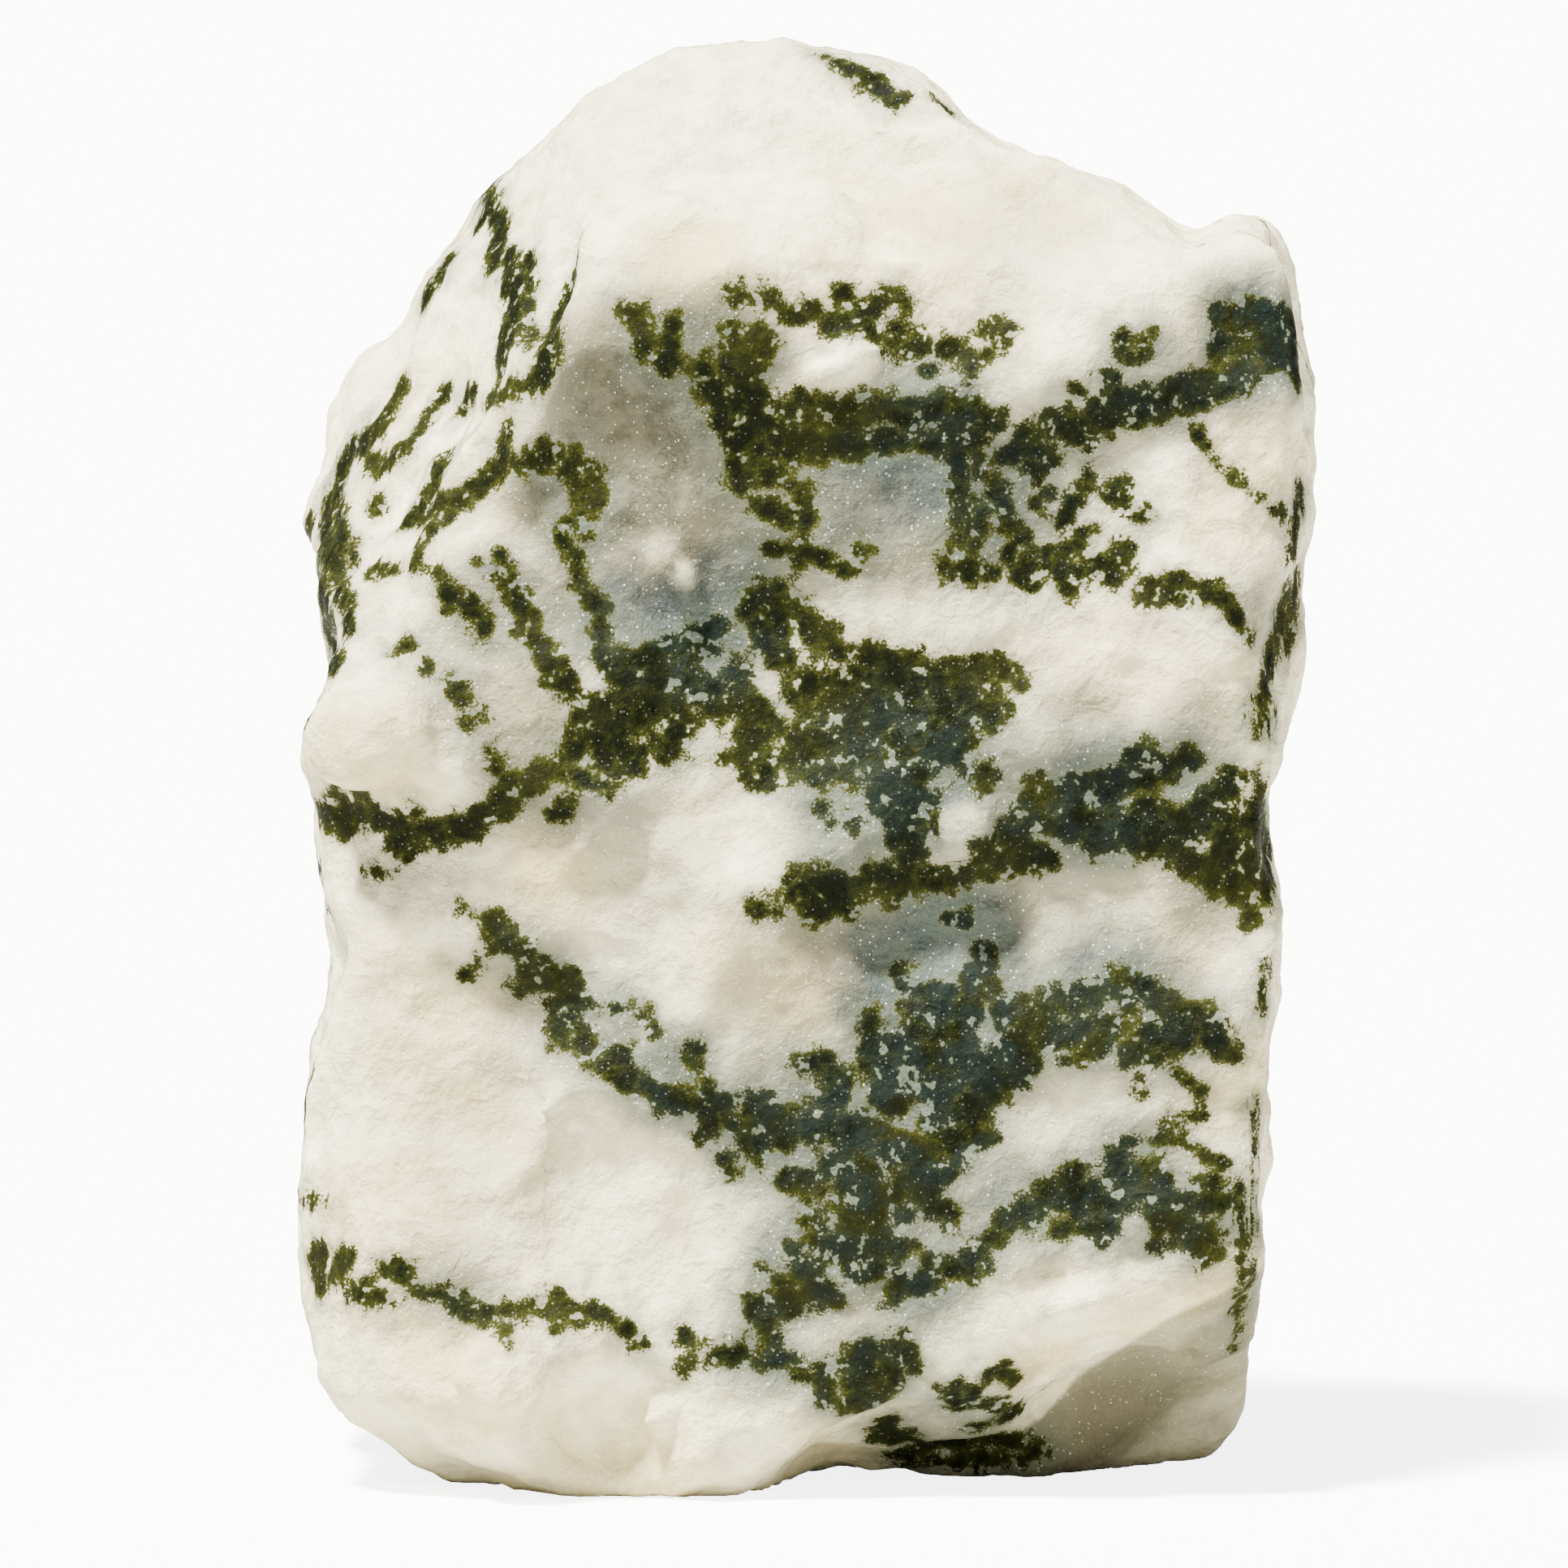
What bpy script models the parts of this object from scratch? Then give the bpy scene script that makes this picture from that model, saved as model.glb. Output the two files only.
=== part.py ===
"""Raw tree agate: one broken lump of white quartz that stands on a small flat spot.

X runs to the right along the broad face, Y runs away from that face, and Z is up. The sizes
below are millimetres. The lump is shaped as a stone breaks: a slab with the outline of the
broad face, the planes along which it split, then the lumps, hollows and flake scars left on it.
"""

import bmesh
import bpy
import numpy as np
from mathutils import Vector, noise

MM = 0.001
HALF_DEPTH = 17.0
FOOT_HEIGHT = 0.0

# Mesh: the grain it is shaped at, the share each vertex moves when softened, the final faces.
WORKING_GRAIN = 0.7
SOFTENING = 0.5
FINISHED_FACES = 8000
TINY = 1e-5

# Small flakes lost all over: how many, how far each reaches, its depth as a share of that reach,
# how far it may tilt, and how steeply it fades out at its rim.
CHIP_SEED = 7
CHIP_COUNT = 170
CHIP_REACH = (3.0, 7.0)
CHIP_DEPTH = 0.035
CHIP_TILT = 0.25
CHIP_RIM = 2.5

# The broad face lost smaller flakes: it is where the surface turns further than this to the front.
BROAD_FACE_TURN = -0.75
BROAD_FACE_SHARE = 0.55

# White quartz, seen from afar with its green inclusions.
QUARTZ_COLOUR = (0.72, 0.69, 0.62, 1.0)
QUARTZ_ROUGHNESS = 0.5

# Outline of the broad face as (x, z), clockwise from the summit.
OUTLINE = [
    (-1.5, 67.9), (3.8, 67.2), (6.4, 66.0), (8.0, 64.2), (10.6, 62.7), (14.6, 61.2), (18.2, 58.2),
    (19.3, 59.2), (21.9, 59.4), (22.6, 57.8), (23.4, 54.2), (24.4, 50.0), (24.3, 46.2),
    (24.0, 41.2), (22.6, 35.5), (21.8, 31.0), (23.0, 26.0), (21.3, 19.8), (22.2, 16.4),
    (21.7, 12.0), (22.0, 9.0), (21.6, 6.0), (21.5, 3.4), (20.9, 0.4), (18.6, -1.0), (-16.0, -1.0),
    (-19.3, 1.0), (-22.0, 2.6), (-23.2, 5.4), (-24.1, 8.6), (-24.7, 13.5), (-24.2, 18.0),
    (-22.8, 24.8), (-23.3, 27.2), (-23.3, 32.0), (-23.9, 35.0), (-22.5, 37.2), (-23.3, 41.6),
    (-25.1, 45.0), (-24.0, 49.0), (-21.8, 52.8), (-19.4, 54.2), (-18.6, 57.0), (-15.4, 61.4),
    (-11.1, 65.1), (-7.4, 67.3),
]

# Each plane the lump split along: a point on it and the way it faces.
SPLITS = {
    "crown slope": ((0.0, -14.0, 57.6), (-0.05, -0.62, 0.78)),
    "crown brow": ((0.0, -14.6, 53.5), (-0.02, -0.90, 0.43)),
    "left shoulder": ((-22.6, -11.0, 39.2), (-0.80, -0.36, 0.48)),
    "shoulder ridge": ((-16.4, -13.8, 42.0), (-0.55, -0.78, 0.30)),
    "broad face": ((0.0, -15.4, 20.0), (0.02, -1.0, 0.03)),
    "right brow": ((15.0, -14.2, 49.0), (0.24, -0.95, 0.20)),
    "lower left face": ((-14.0, -14.9, 16.0), (-0.20, -0.98, 0.05)),
    "lower left edge": ((-23.2, -11.2, 18.0), (-0.66, -0.75, 0.04)),
    "right edge": ((22.2, -12.8, 22.0), (0.93, -0.37, 0.0)),
    "shaded corner": ((15.6, -14.4, 7.2), (0.40, -0.54, -0.74)),
    "undercut": ((2.0, -14.6, 2.0), (0.10, -0.62, -0.78)),
    "foot edge": ((-18.2, -13.3, 3.4), (-0.40, -0.56, -0.73)),
    "back": ((0.0, 15.4, 35.0), (0.10, 0.98, 0.12)),
    "back left": ((-20.5, 12.0, 30.0), (-0.62, 0.78, 0.02)),
    "back right": ((20.0, 9.4, 30.0), (0.72, 0.69, -0.06)),
    "back crown": ((0.0, 8.5, 64.8), (-0.10, 0.66, 0.74)),
    "back right crown": ((15.5, 8.0, 57.4), (0.46, 0.62, 0.63)),
    "back left crown": ((-15.0, 11.0, 57.4), (-0.46, 0.72, 0.52)),
    "back foot": ((0.0, 12.5, 5.0), (0.06, 0.80, -0.60)),
    "back left foot": ((-18.6, 9.0, 3.4), (-0.58, 0.45, -0.68)),
    "back right foot": ((18.5, 9.0, 3.4), (0.62, 0.45, -0.64)),
}

# Each rounded form: from, to, reach and height. A hollow has a negative height.
FORMS = {
    "crown swell": ((-6.0, -9.0, 62.0), (4.0, -8.0, 62.0), 9.0, 0.6),
    "upper hollow": ((-8.0, -14.5, 47.0), (4.0, -14.5, 45.0), 11.0, -1.2),
    "left knob": ((-21.5, -11.5, 36.2), (-18.5, -13.5, 35.2), 5.5, 1.6),
    "crease under knob": ((-22.0, -12.0, 32.2), (-13.0, -15.0, 30.6), 4.2, -1.0),
    "slanting trough": ((-11.0, -15.0, 28.0), (-5.0, -15.0, 34.5), 4.5, -1.0),
    "slanting swell": ((-9.5, -14.5, 25.0), (1.0, -14.5, 33.0), 6.5, 0.9),
    "left dimple": ((-15.5, -14.5, 24.0), (-12.5, -15.0, 22.5), 4.5, -0.7),
    "lower left swell": ((-16.0, -14.0, 14.0), (-4.0, -14.5, 12.0), 10.0, 0.5),
    "belly hollow": ((6.0, -15.0, 27.0), (19.0, -14.0, 28.0), 5.0, -0.7),
    "lower right swell": ((6.0, -14.5, 9.5), (18.0, -13.5, 12.0), 5.5, 0.8),
    "foot knob": ((-14.0, -14.5, 5.4), (-12.3, -14.5, 6.4), 3.4, 1.0),
    "back swell": ((-6.0, 15.0, 42.0), (6.0, 15.0, 30.0), 12.0, 1.0),
}

# Each hollow that a flake left, as a bite out of the stone by a ball: the place, the way the
# flake came off, the ball's radius and the depth of the bite.
BITES = {
    "upper hollow": ((-5.0, -14.6, 47.5), (0.05, -1.0, -0.20), 28.0, 1.3),
    "brow flake": ((5.0, -13.6, 56.6), (0.15, -0.95, 0.1), 9.0, 0.7),
    "crown flake": ((-3.0, -12.2, 60.0), (-0.2, -0.8, 0.5), 14.0, 0.6),
    "crown side": ((9.0, -7.5, 62.2), (0.25, -0.6, 0.8), 30.0, 0.9),
    "shoulder scoop": ((-19.5, -9.0, 46.5), (-0.80, -0.40, 0.40), 18.0, 0.8),
    "centre flake": ((-7.2, -14.0, 43.2), (-0.2, -1.0, -0.2), 4.0, 0.8),
    "slanting trough": ((-9.0, -15.0, 30.5), (-0.25, -1.0, -0.35), 12.0, 0.7),
    "centre right": ((9.0, -15.0, 39.0), (0.15, -1.0, 0.25), 28.0, 0.8),
    "left flake": ((-9.0, -15.4, 15.0), (0.05, -1.0, 0.0), 30.0, 0.6),
    "under foot knob": ((-10.2, -15.0, 4.8), (0.2, -1.0, -0.4), 6.0, 0.7),
    "foot arch": ((6.0, -13.4, 0.7), (0.1, -0.45, -0.9), 17.0, 3.1),
    "shaded corner": ((16.5, -12.0, 4.0), (0.5, -0.5, -0.7), 16.0, 0.8),
    "right wall upper": ((23.5, -4.0, 40.0), (1.0, 0.0, 0.0), 24.0, 0.6),
    "right wall back": ((23.0, 6.0, 44.0), (0.9, 0.4, 0.1), 15.0, 1.5),
    "back upper": ((7.0, 14.0, 50.0), (0.2, 1.0, 0.2), 20.0, 2.2),
    "back lower": ((-6.0, 15.0, 18.0), (-0.2, 1.0, -0.1), 22.0, 2.0),
    "back side": ((-17.0, 11.0, 38.0), (-0.62, 0.78, 0.1), 22.0, 0.9),
    "left wall": ((-23.8, 4.0, 20.0), (-1.0, 0.3, 0.1), 18.0, 0.9),
}

# Uneven ground of the broken surface: wavelength and height of each size of lump.
LUMPS = [(14.0, 0.80), (7.0, 0.56), (3.4, 0.40)]
FINE_LUMPS = [(2.4, 0.20)]


def slab_with_outline():
    """A slab as deep as the stone, with the outline of its broad face."""
    bm = bmesh.new()
    front = [bm.verts.new((x, -HALF_DEPTH, z)) for x, z in OUTLINE]
    face = bm.faces.new(front)
    grown = bmesh.ops.extrude_face_region(bm, geom=[face])
    moved = [item for item in grown["geom"] if isinstance(item, bmesh.types.BMVert)]
    bmesh.ops.translate(bm, vec=(0.0, 2.0 * HALF_DEPTH, 0.0), verts=moved)
    bmesh.ops.recalc_face_normals(bm, faces=bm.faces)
    return bm


def split_off(bm, point, facing):
    """Takes away all that lies outside a plane, and closes the cut."""
    cut = bmesh.ops.bisect_plane(
        bm,
        geom=bm.verts[:] + bm.edges[:] + bm.faces[:],
        dist=TINY,
        plane_co=point,
        plane_no=Vector(facing).normalized(),
        clear_outer=True,
    )
    rim = [item for item in cut["geom_cut"] if isinstance(item, bmesh.types.BMEdge)]
    bmesh.ops.holes_fill(bm, edges=rim, sides=0)
    bmesh.ops.recalc_face_normals(bm, faces=bm.faces)


def object_from(name, bm):
    mesh = bpy.data.meshes.new(name)
    bm.to_mesh(mesh)
    bm.free()
    obj = bpy.data.objects.new(name, mesh)
    bpy.context.scene.collection.objects.link(obj)
    return obj


def apply_modifiers(obj):
    """Puts what the object's modifiers make in place of its mesh."""
    graph = bpy.context.evaluated_depsgraph_get()
    mesh = bpy.data.meshes.new_from_object(obj.evaluated_get(graph))
    obj.modifiers.clear()
    obj.data = mesh


def read_surface(mesh):
    points = np.empty(len(mesh.vertices) * 3)
    facing = np.empty(len(mesh.vertices) * 3)
    mesh.vertices.foreach_get("co", points)
    mesh.vertices.foreach_get("normal", facing)
    return points.reshape(-1, 3), facing.reshape(-1, 3)


def write_surface(mesh, points):
    mesh.vertices.foreach_set("co", points.ravel())
    mesh.update()


def nearest_on_line(points, start, end):
    """For each point, the vector to it from the nearest place between start and end."""
    start, end = np.array(start), np.array(end)
    along = end - start
    share = np.clip((points - start) @ along / max(along @ along, TINY), 0.0, 1.0)
    return points - (start + share[:, None] * along)


def raise_form(points, facing, start, end, reach, height):
    """Swells the surface, or hollows it, along a line, fading smoothly to nothing at its reach."""
    away = np.linalg.norm(nearest_on_line(points, start, end), axis=1)
    fade = np.clip(1.0 - (away / reach) ** 2, 0.0, 1.0) ** 2
    return points + facing * (height * fade)[:, None]


def bite(points, place, away, radius, depth):
    """Presses the surface out of a ball that reaches the given depth into the stone."""
    away = Vector(away).normalized()
    centre = np.array(Vector(place) + away * (radius - depth))
    offset = points - centre
    distance = np.linalg.norm(offset, axis=1)
    pressed = centre + offset * (radius / distance)[:, None]
    return np.where((distance < radius)[:, None], pressed, points)


def chip_all_over(points, facing):
    """Small flakes lost all over the stone, each a flat spot cut into the high ground."""
    draw = np.random.default_rng(CHIP_SEED)
    for spot in draw.integers(0, len(points), CHIP_COUNT):
        reach = draw.uniform(*CHIP_REACH)
        if facing[spot][1] < BROAD_FACE_TURN:
            reach *= BROAD_FACE_SHARE
        away = facing[spot] + draw.uniform(-CHIP_TILT, CHIP_TILT, 3)
        away /= np.linalg.norm(away)
        offset = points - points[spot]
        above = np.maximum(offset @ away + CHIP_DEPTH * reach, 0.0)
        share = np.clip(CHIP_RIM * (1.0 - np.linalg.norm(offset, axis=1) / reach), 0.0, 1.0)
        points = points - (above * share)[:, None] * away
    return points


def roughen(points, facing, lumps):
    """Adds uneven ground, one size of lump after another."""
    for wavelength, height in lumps:
        swell = np.array([noise.noise(Vector(point) / wavelength) for point in points])
        points = points + facing * (height * swell)[:, None]
    return points


def shape_surface(obj):
    """Works the forms, flake hollows and uneven ground into the stone's fine mesh."""
    points, facing = read_surface(obj.data)
    for start, end, reach, height in FORMS.values():
        points = raise_form(points, facing, start, end, reach, height)
    for place, away, radius, depth in BITES.values():
        points = bite(points, place, away, radius, depth)
    points = roughen(points, facing, LUMPS)
    points = chip_all_over(points, facing)
    write_surface(obj.data, roughen(points, facing, FINE_LUMPS))


def remesh(obj, grain, rounds):
    """Gives the stone an even mesh and rounds its edges a little."""
    even = obj.modifiers.new("Even mesh", "REMESH")
    even.mode = "VOXEL"
    even.voxel_size = grain
    soften = obj.modifiers.new("Soften", "SMOOTH")
    soften.factor = SOFTENING
    soften.iterations = rounds
    apply_modifiers(obj)


def drop_loose_crumbs(obj):
    """Keeps only the body that holds the summit, without crumbs that the foot's cut set free."""
    bm = bmesh.new()
    bm.from_mesh(obj.data)
    summit = max(bm.verts, key=lambda vert: vert.co.z)
    body = {summit}
    edge_of_search = [summit]
    while edge_of_search:
        vert = edge_of_search.pop()
        for edge in vert.link_edges:
            other = edge.other_vert(vert)
            if other not in body:
                body.add(other)
                edge_of_search.append(other)
    crumbs = [vert for vert in bm.verts if vert not in body]
    bmesh.ops.delete(bm, geom=crumbs, context="VERTS")
    bm.to_mesh(obj.data)
    bm.free()


def thin_out(obj):
    """Leaves small faces only where the surface turns."""
    thin = obj.modifiers.new("Fewer faces", "DECIMATE")
    obj.data.calc_loop_triangles()
    thin.ratio = FINISHED_FACES / len(obj.data.loop_triangles)
    apply_modifiers(obj)


def flatten_foot(obj):
    """Cuts the flat spot that the stone stands on, and centres the stone over it."""
    bm = bmesh.new()
    bm.from_mesh(obj.data)
    split_off(bm, (0.0, 0.0, FOOT_HEIGHT), (0.0, 0.0, -1.0))
    xs, ys = [vert.co.x for vert in bm.verts], [vert.co.y for vert in bm.verts]
    middle = Vector(((min(xs) + max(xs)) / 2, (min(ys) + max(ys)) / 2, FOOT_HEIGHT))
    bmesh.ops.translate(bm, vec=-middle, verts=bm.verts)
    bmesh.ops.scale(bm, vec=(MM, MM, MM), verts=bm.verts)
    bm.to_mesh(obj.data)
    bm.free()


def agate_material():
    material = bpy.data.materials.new("agate")
    material.use_nodes = True
    shader = material.node_tree.nodes["Principled BSDF"]
    shader.inputs["Base Color"].default_value = QUARTZ_COLOUR
    shader.inputs["Roughness"].default_value = QUARTZ_ROUGHNESS
    shader.inputs["Metallic"].default_value = 0.0
    return material


def build_stone():
    bm = slab_with_outline()
    for point, facing in SPLITS.values():
        split_off(bm, point, facing)
    stone = object_from("stone", bm)
    remesh(stone, WORKING_GRAIN, rounds=3)
    shape_surface(stone)
    remesh(stone, WORKING_GRAIN, rounds=1)
    thin_out(stone)
    flatten_foot(stone)
    drop_loose_crumbs(stone)
    stone.data.materials.clear()
    stone.data.materials.append(agate_material())
    stone.data.shade_smooth()
    return stone


def main():
    for obj in list(bpy.data.objects):
        bpy.data.objects.remove(obj, do_unlink=True)
    build_stone()


main()
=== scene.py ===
# %% [markdown]
# # A rough piece of tree agate
#
# The real object is one broken lump of white quartz, about as long as a thumb, with dark green
# growths inside it that look like moss. This lesson dresses the plain solid of the lump: it
# copies the solid, breaks its surface, lets the green in, and lights it as on a photo table.

import math

import bpy
import numpy as np
from mathutils import Matrix, Vector, noise
from mathutils.bvhtree import BVHTree


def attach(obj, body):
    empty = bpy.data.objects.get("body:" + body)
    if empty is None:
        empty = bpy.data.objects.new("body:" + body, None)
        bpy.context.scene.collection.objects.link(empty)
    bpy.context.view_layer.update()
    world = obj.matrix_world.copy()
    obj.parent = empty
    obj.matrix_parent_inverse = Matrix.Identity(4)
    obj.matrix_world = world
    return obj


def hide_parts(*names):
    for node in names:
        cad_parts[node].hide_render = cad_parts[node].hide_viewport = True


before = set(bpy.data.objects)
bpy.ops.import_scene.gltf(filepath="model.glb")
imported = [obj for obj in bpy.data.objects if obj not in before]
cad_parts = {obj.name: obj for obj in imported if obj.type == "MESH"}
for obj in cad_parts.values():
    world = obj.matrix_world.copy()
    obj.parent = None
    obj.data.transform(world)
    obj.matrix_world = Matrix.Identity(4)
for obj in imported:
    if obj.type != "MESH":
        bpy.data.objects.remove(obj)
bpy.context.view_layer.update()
MM = 0.001
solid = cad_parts["stone"]
print("solid loaded:", len(solid.data.polygons), "faces")

# %% [markdown]
# ## The camera
#
# The growths are placed by where the picture shows them, so the camera comes first. It looks at
# the broad face from a little above, from far away, because the picture has almost no
# perspective. The picture is square, and its points are counted in picture points from the
# upper left corner.

# %% Set the camera
PICTURE_SIDE = 1932
POINTS_PER_MM = 25.6
CAMERA_DISTANCE = 0.60
CAMERA_RISE = math.radians(5.0)
FIELD_WIDTH = 0.07547
CAMERA_TARGET = Vector((-0.0009, 0.0, 0.0326))

bpy.ops.object.select_all(action="DESELECT")
bpy.ops.object.camera_add()
camera = bpy.context.object
camera.name = "picture_camera"
camera.data.sensor_width = 36.0
camera.data.lens = 36.0 * CAMERA_DISTANCE / FIELD_WIDTH
camera.data.clip_start = 0.01
away = Vector((0.0, -math.cos(CAMERA_RISE), math.sin(CAMERA_RISE)))
camera.location = CAMERA_TARGET + away * CAMERA_DISTANCE
camera.rotation_mode = "QUATERNION"
camera.rotation_quaternion = (-away).to_track_quat("-Z", "Y")
bpy.context.scene.camera = camera
print("lens:", round(camera.data.lens, 1), "mm")

# %% [markdown]
# A helper turns a picture point into the place on the stone that it shows. It sends a ray from
# the camera through the point, and keeps the first place that it hits.

# %% Find the stone under a picture point
def sight_line(px, py):
    """Direction from the camera through a picture point."""
    half = PICTURE_SIDE / 2
    spread = FIELD_WIDTH / CAMERA_DISTANCE / PICTURE_SIDE
    across = Vector(((px - half) * spread, (half - py) * spread, -1.0))
    return (camera.rotation_quaternion @ across).normalized()


def skin_of(obj):
    return BVHTree.FromPolygons(
        [vertex.co.copy() for vertex in obj.data.vertices],
        [tuple(face.vertices) for face in obj.data.polygons],
    )


def place_under(skin, px, py):
    """The place on the skin and its facing, or None beside the stone."""
    place, facing, _, _ = skin.ray_cast(camera.location, sight_line(px, py))
    return (place, facing) if place else None


middle, _ = place_under(skin_of(solid), PICTURE_SIDE / 2, PICTURE_SIDE / 2)
print("the picture's middle shows the place", [round(value / MM, 1) for value in middle], "mm")

# %% [markdown]
# The opposite helper says at which picture point a place on the stone is seen. It is used where
# a line in the picture, such as the rim of the broken corner, parts two finishes.

# %% The picture point of a place
def picture_points(places):
    """The picture points at which places on the stone are seen."""
    turn = np.array(camera.rotation_quaternion.to_matrix())
    seen_from_camera = (places - np.array(camera.location)) @ turn
    scale = PICTURE_SIDE * CAMERA_DISTANCE / FIELD_WIDTH / -seen_from_camera[:, 2]
    half = PICTURE_SIDE / 2
    return half + seen_from_camera[:, 0] * scale, half - seen_from_camera[:, 1] * scale


back_x, back_y = picture_points(np.array([middle]))
print("and that place is seen at", round(float(back_x[0])), round(float(back_y[0])))

# %% [markdown]
# ## The lump
#
# The solid has the true main shape but only a few thousand faces. A copy of it becomes the
# visible stone, so the solid itself stays as it is. Its faces are loose triangles, so their
# doubled corners are merged first.

# %% Copy the solid and merge its corners
def only_select(obj):
    bpy.ops.object.select_all(action="DESELECT")
    obj.select_set(True)
    bpy.context.view_layer.objects.active = obj


def add_modifier(obj, name, kind, **settings):
    modifier = obj.modifiers.new(name, kind)
    for key, value in settings.items():
        setattr(modifier, key, value)
    return modifier


def apply_all(obj):
    only_select(obj)
    for modifier in list(obj.modifiers):
        bpy.ops.object.modifier_apply(modifier=modifier.name)


stone = bpy.data.objects.new("tree_agate", solid.data.copy())
bpy.context.scene.collection.objects.link(stone)
stone.data.materials.clear()
only_select(stone)
bpy.ops.object.mode_set(mode="EDIT")
bpy.ops.mesh.select_all(action="SELECT")
bpy.ops.mesh.remove_doubles(threshold=1e-6)
bpy.ops.object.mode_set(mode="OBJECT")
print("merged corners:", len(stone.data.vertices))

# %% [markdown]
# ## Flake scars and knobs
#
# Quartz breaks in shallow shells, like glass. Each scar is cut with a flattened ball laid on
# the skin, which leaves a hollow with a crisp rim. The few knobs that stand proud are
# flattened balls too, joined on. Both are listed by their picture point.

# %% List the scars and knobs
SCARS = [
    # px, py, length, width, depth in mm, turn in degrees
    (800, 318, 5.0, 3.2, 0.45, 40),
    (1185, 350, 6.5, 2.6, 0.40, -30),
    (1120, 455, 4.2, 1.8, 0.45, 25),
    (700, 1010, 4.6, 2.2, 0.50, 25),
    (730, 1090, 4.0, 2.6, 0.50, 50),
    (620, 1120, 3.6, 2.4, 0.40, -10),
    (640, 1240, 5.0, 3.2, 0.50, 5),
    (560, 1370, 4.4, 4.0, 0.35, 15),
    (720, 1480, 4.2, 5.2, 0.55, 0),
    (775, 600, 4.9, 7.4, 1.05, 10),
    (735, 1745, 2.6, 3.0, 0.35, 20),
    (560, 1775, 3.0, 1.6, 0.40, -15),
    (1010, 1160, 5.6, 2.0, 0.40, 20),
    (1200, 1165, 5.8, 1.8, 0.50, 12),
    (1390, 1130, 4.4, 2.2, 0.40, -8),
    (1350, 880, 3.8, 2.6, 0.40, 20),
    (1290, 1370, 4.4, 2.6, 0.40, 5),
    (1350, 1560, 5.2, 1.6, 0.45, 15),
    (1330, 1720, 6.0, 3.0, 0.50, 35),
    (1150, 1790, 5.2, 1.2, 0.55, 8),
    (1000, 590, 4.8, 4.4, 0.35, 0),
    (1080, 620, 3.2, 4.6, 0.35, -10),
    (930, 190, 6.0, 3.4, 0.35, 15),
    (1130, 230, 5.5, 3.0, 0.35, -25),
    (690, 330, 2.4, 5.0, 0.60, 10),
    (560, 620, 2.8, 5.8, 0.75, -25),
    (470, 640, 2.2, 5.0, 0.60, -15),
    (430, 1080, 3.0, 2.4, 0.40, 0),
    (450, 1330, 4.0, 3.4, 0.35, 0),
]
KNOBS = [
    (815, 675, 1.30, 0.62, 0.46, 8),
    (846, 712, 0.58, 1.35, 0.46, 10),
    (622, 1692, 2.3, 1.9, 0.38, 25),
    (455, 905, 3.2, 2.6, 0.55, 20),
    (1185, 1022, 1.6, 1.4, 0.45, 30),
    (1050, 452, 2.6, 0.9, 0.45, 18),
    (1240, 1600, 5.0, 2.0, 0.22, 12),
    (800, 1745, 2.0, 1.1, 0.40, 25),
]
print("scars:", len(SCARS), "knobs:", len(KNOBS))

# %% [markdown]
# A sculpting brush could press the scars in by hand. Balls and a Boolean modifier give the same
# crisp rims and can be moved by changing a number. All the balls are cut at once, before the
# skin gets its fine mesh.

# %% Lay flattened balls on the skin
BALL_THICKNESS = 3.0  # times the depth of the scar
KNOB_SINK = 0.35


def lay_balls(name, rows, sunk):
    """Joins one flattened ball for each row into a single object."""
    skin = skin_of(stone)
    balls = []
    for px, py, length, width, depth, turn in rows:
        place, facing = place_under(skin, px, py)
        bpy.ops.object.select_all(action="DESELECT")
        bpy.ops.mesh.primitive_ico_sphere_add(subdivisions=4, radius=1.0)
        ball = bpy.context.object
        lift = 1.0 if sunk else -KNOB_SINK
        lie = facing.to_track_quat("Z", "Y").to_matrix().to_4x4()
        thick = depth * BALL_THICKNESS
        size = Matrix.Diagonal((length * MM, width * MM, thick * MM, 1.0))
        where = place + facing * lift * (thick - depth) * MM
        turned = Matrix.Rotation(math.radians(turn), 4, "Z")
        ball.matrix_world = Matrix.Translation(where) @ lie @ turned @ size
        balls.append(ball)
    bpy.ops.object.select_all(action="DESELECT")
    for ball in balls:
        ball.select_set(True)
    bpy.context.view_layer.objects.active = balls[0]
    bpy.ops.object.join()
    joined = bpy.context.object
    joined.name = name
    bpy.ops.object.transform_apply(location=True, rotation=True, scale=True)
    return joined


knobs = lay_balls("knobs", KNOBS, sunk=False)
scars = lay_balls("scars", SCARS, sunk=True)
add_modifier(stone, "Join knobs", "BOOLEAN", operation="UNION", object=knobs, use_self=True)
add_modifier(stone, "Cut scars", "BOOLEAN", operation="DIFFERENCE", object=scars, use_self=True)
apply_all(stone)
for helper in (knobs, scars):
    bpy.data.objects.remove(helper, do_unlink=True)
print("faces after the scars:", len(stone.data.polygons))

# %% [markdown]
# ## The broken skin
#
# The whole skin gets an even, fine mesh. Displace modifiers then push it in and out by
# patterns that have a size in millimetres: wide swells, small shells with sharp ridges between
# them, and sugary grain. This is real relief, not a painted one, so the outline breaks up too.
# A Multiresolution modifier could carry finer relief, but the mesh would grow too heavy.

# %% Mesh the skin finely and break it up
SKIN_GRAIN = 0.385
RELIEF = [
    # name, pattern, size in mm, push in mm
    ("swells", "CLOUDS", 5.0, 0.50),
    ("shells", "VORONOI", 2.6, 0.42),
    ("small_shells", "VORONOI", 1.3, 0.24),
    ("grain", "CLOUDS", 0.9, 0.14),
]


def relief_pattern(name, kind, size):
    pattern = bpy.data.textures.new(name, kind)
    pattern.noise_scale = size * MM
    if kind == "CLOUDS":
        pattern.noise_depth = 2
    else:
        pattern.distance_metric = "DISTANCE"
        pattern.noise_intensity = 1.0
    return pattern


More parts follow.
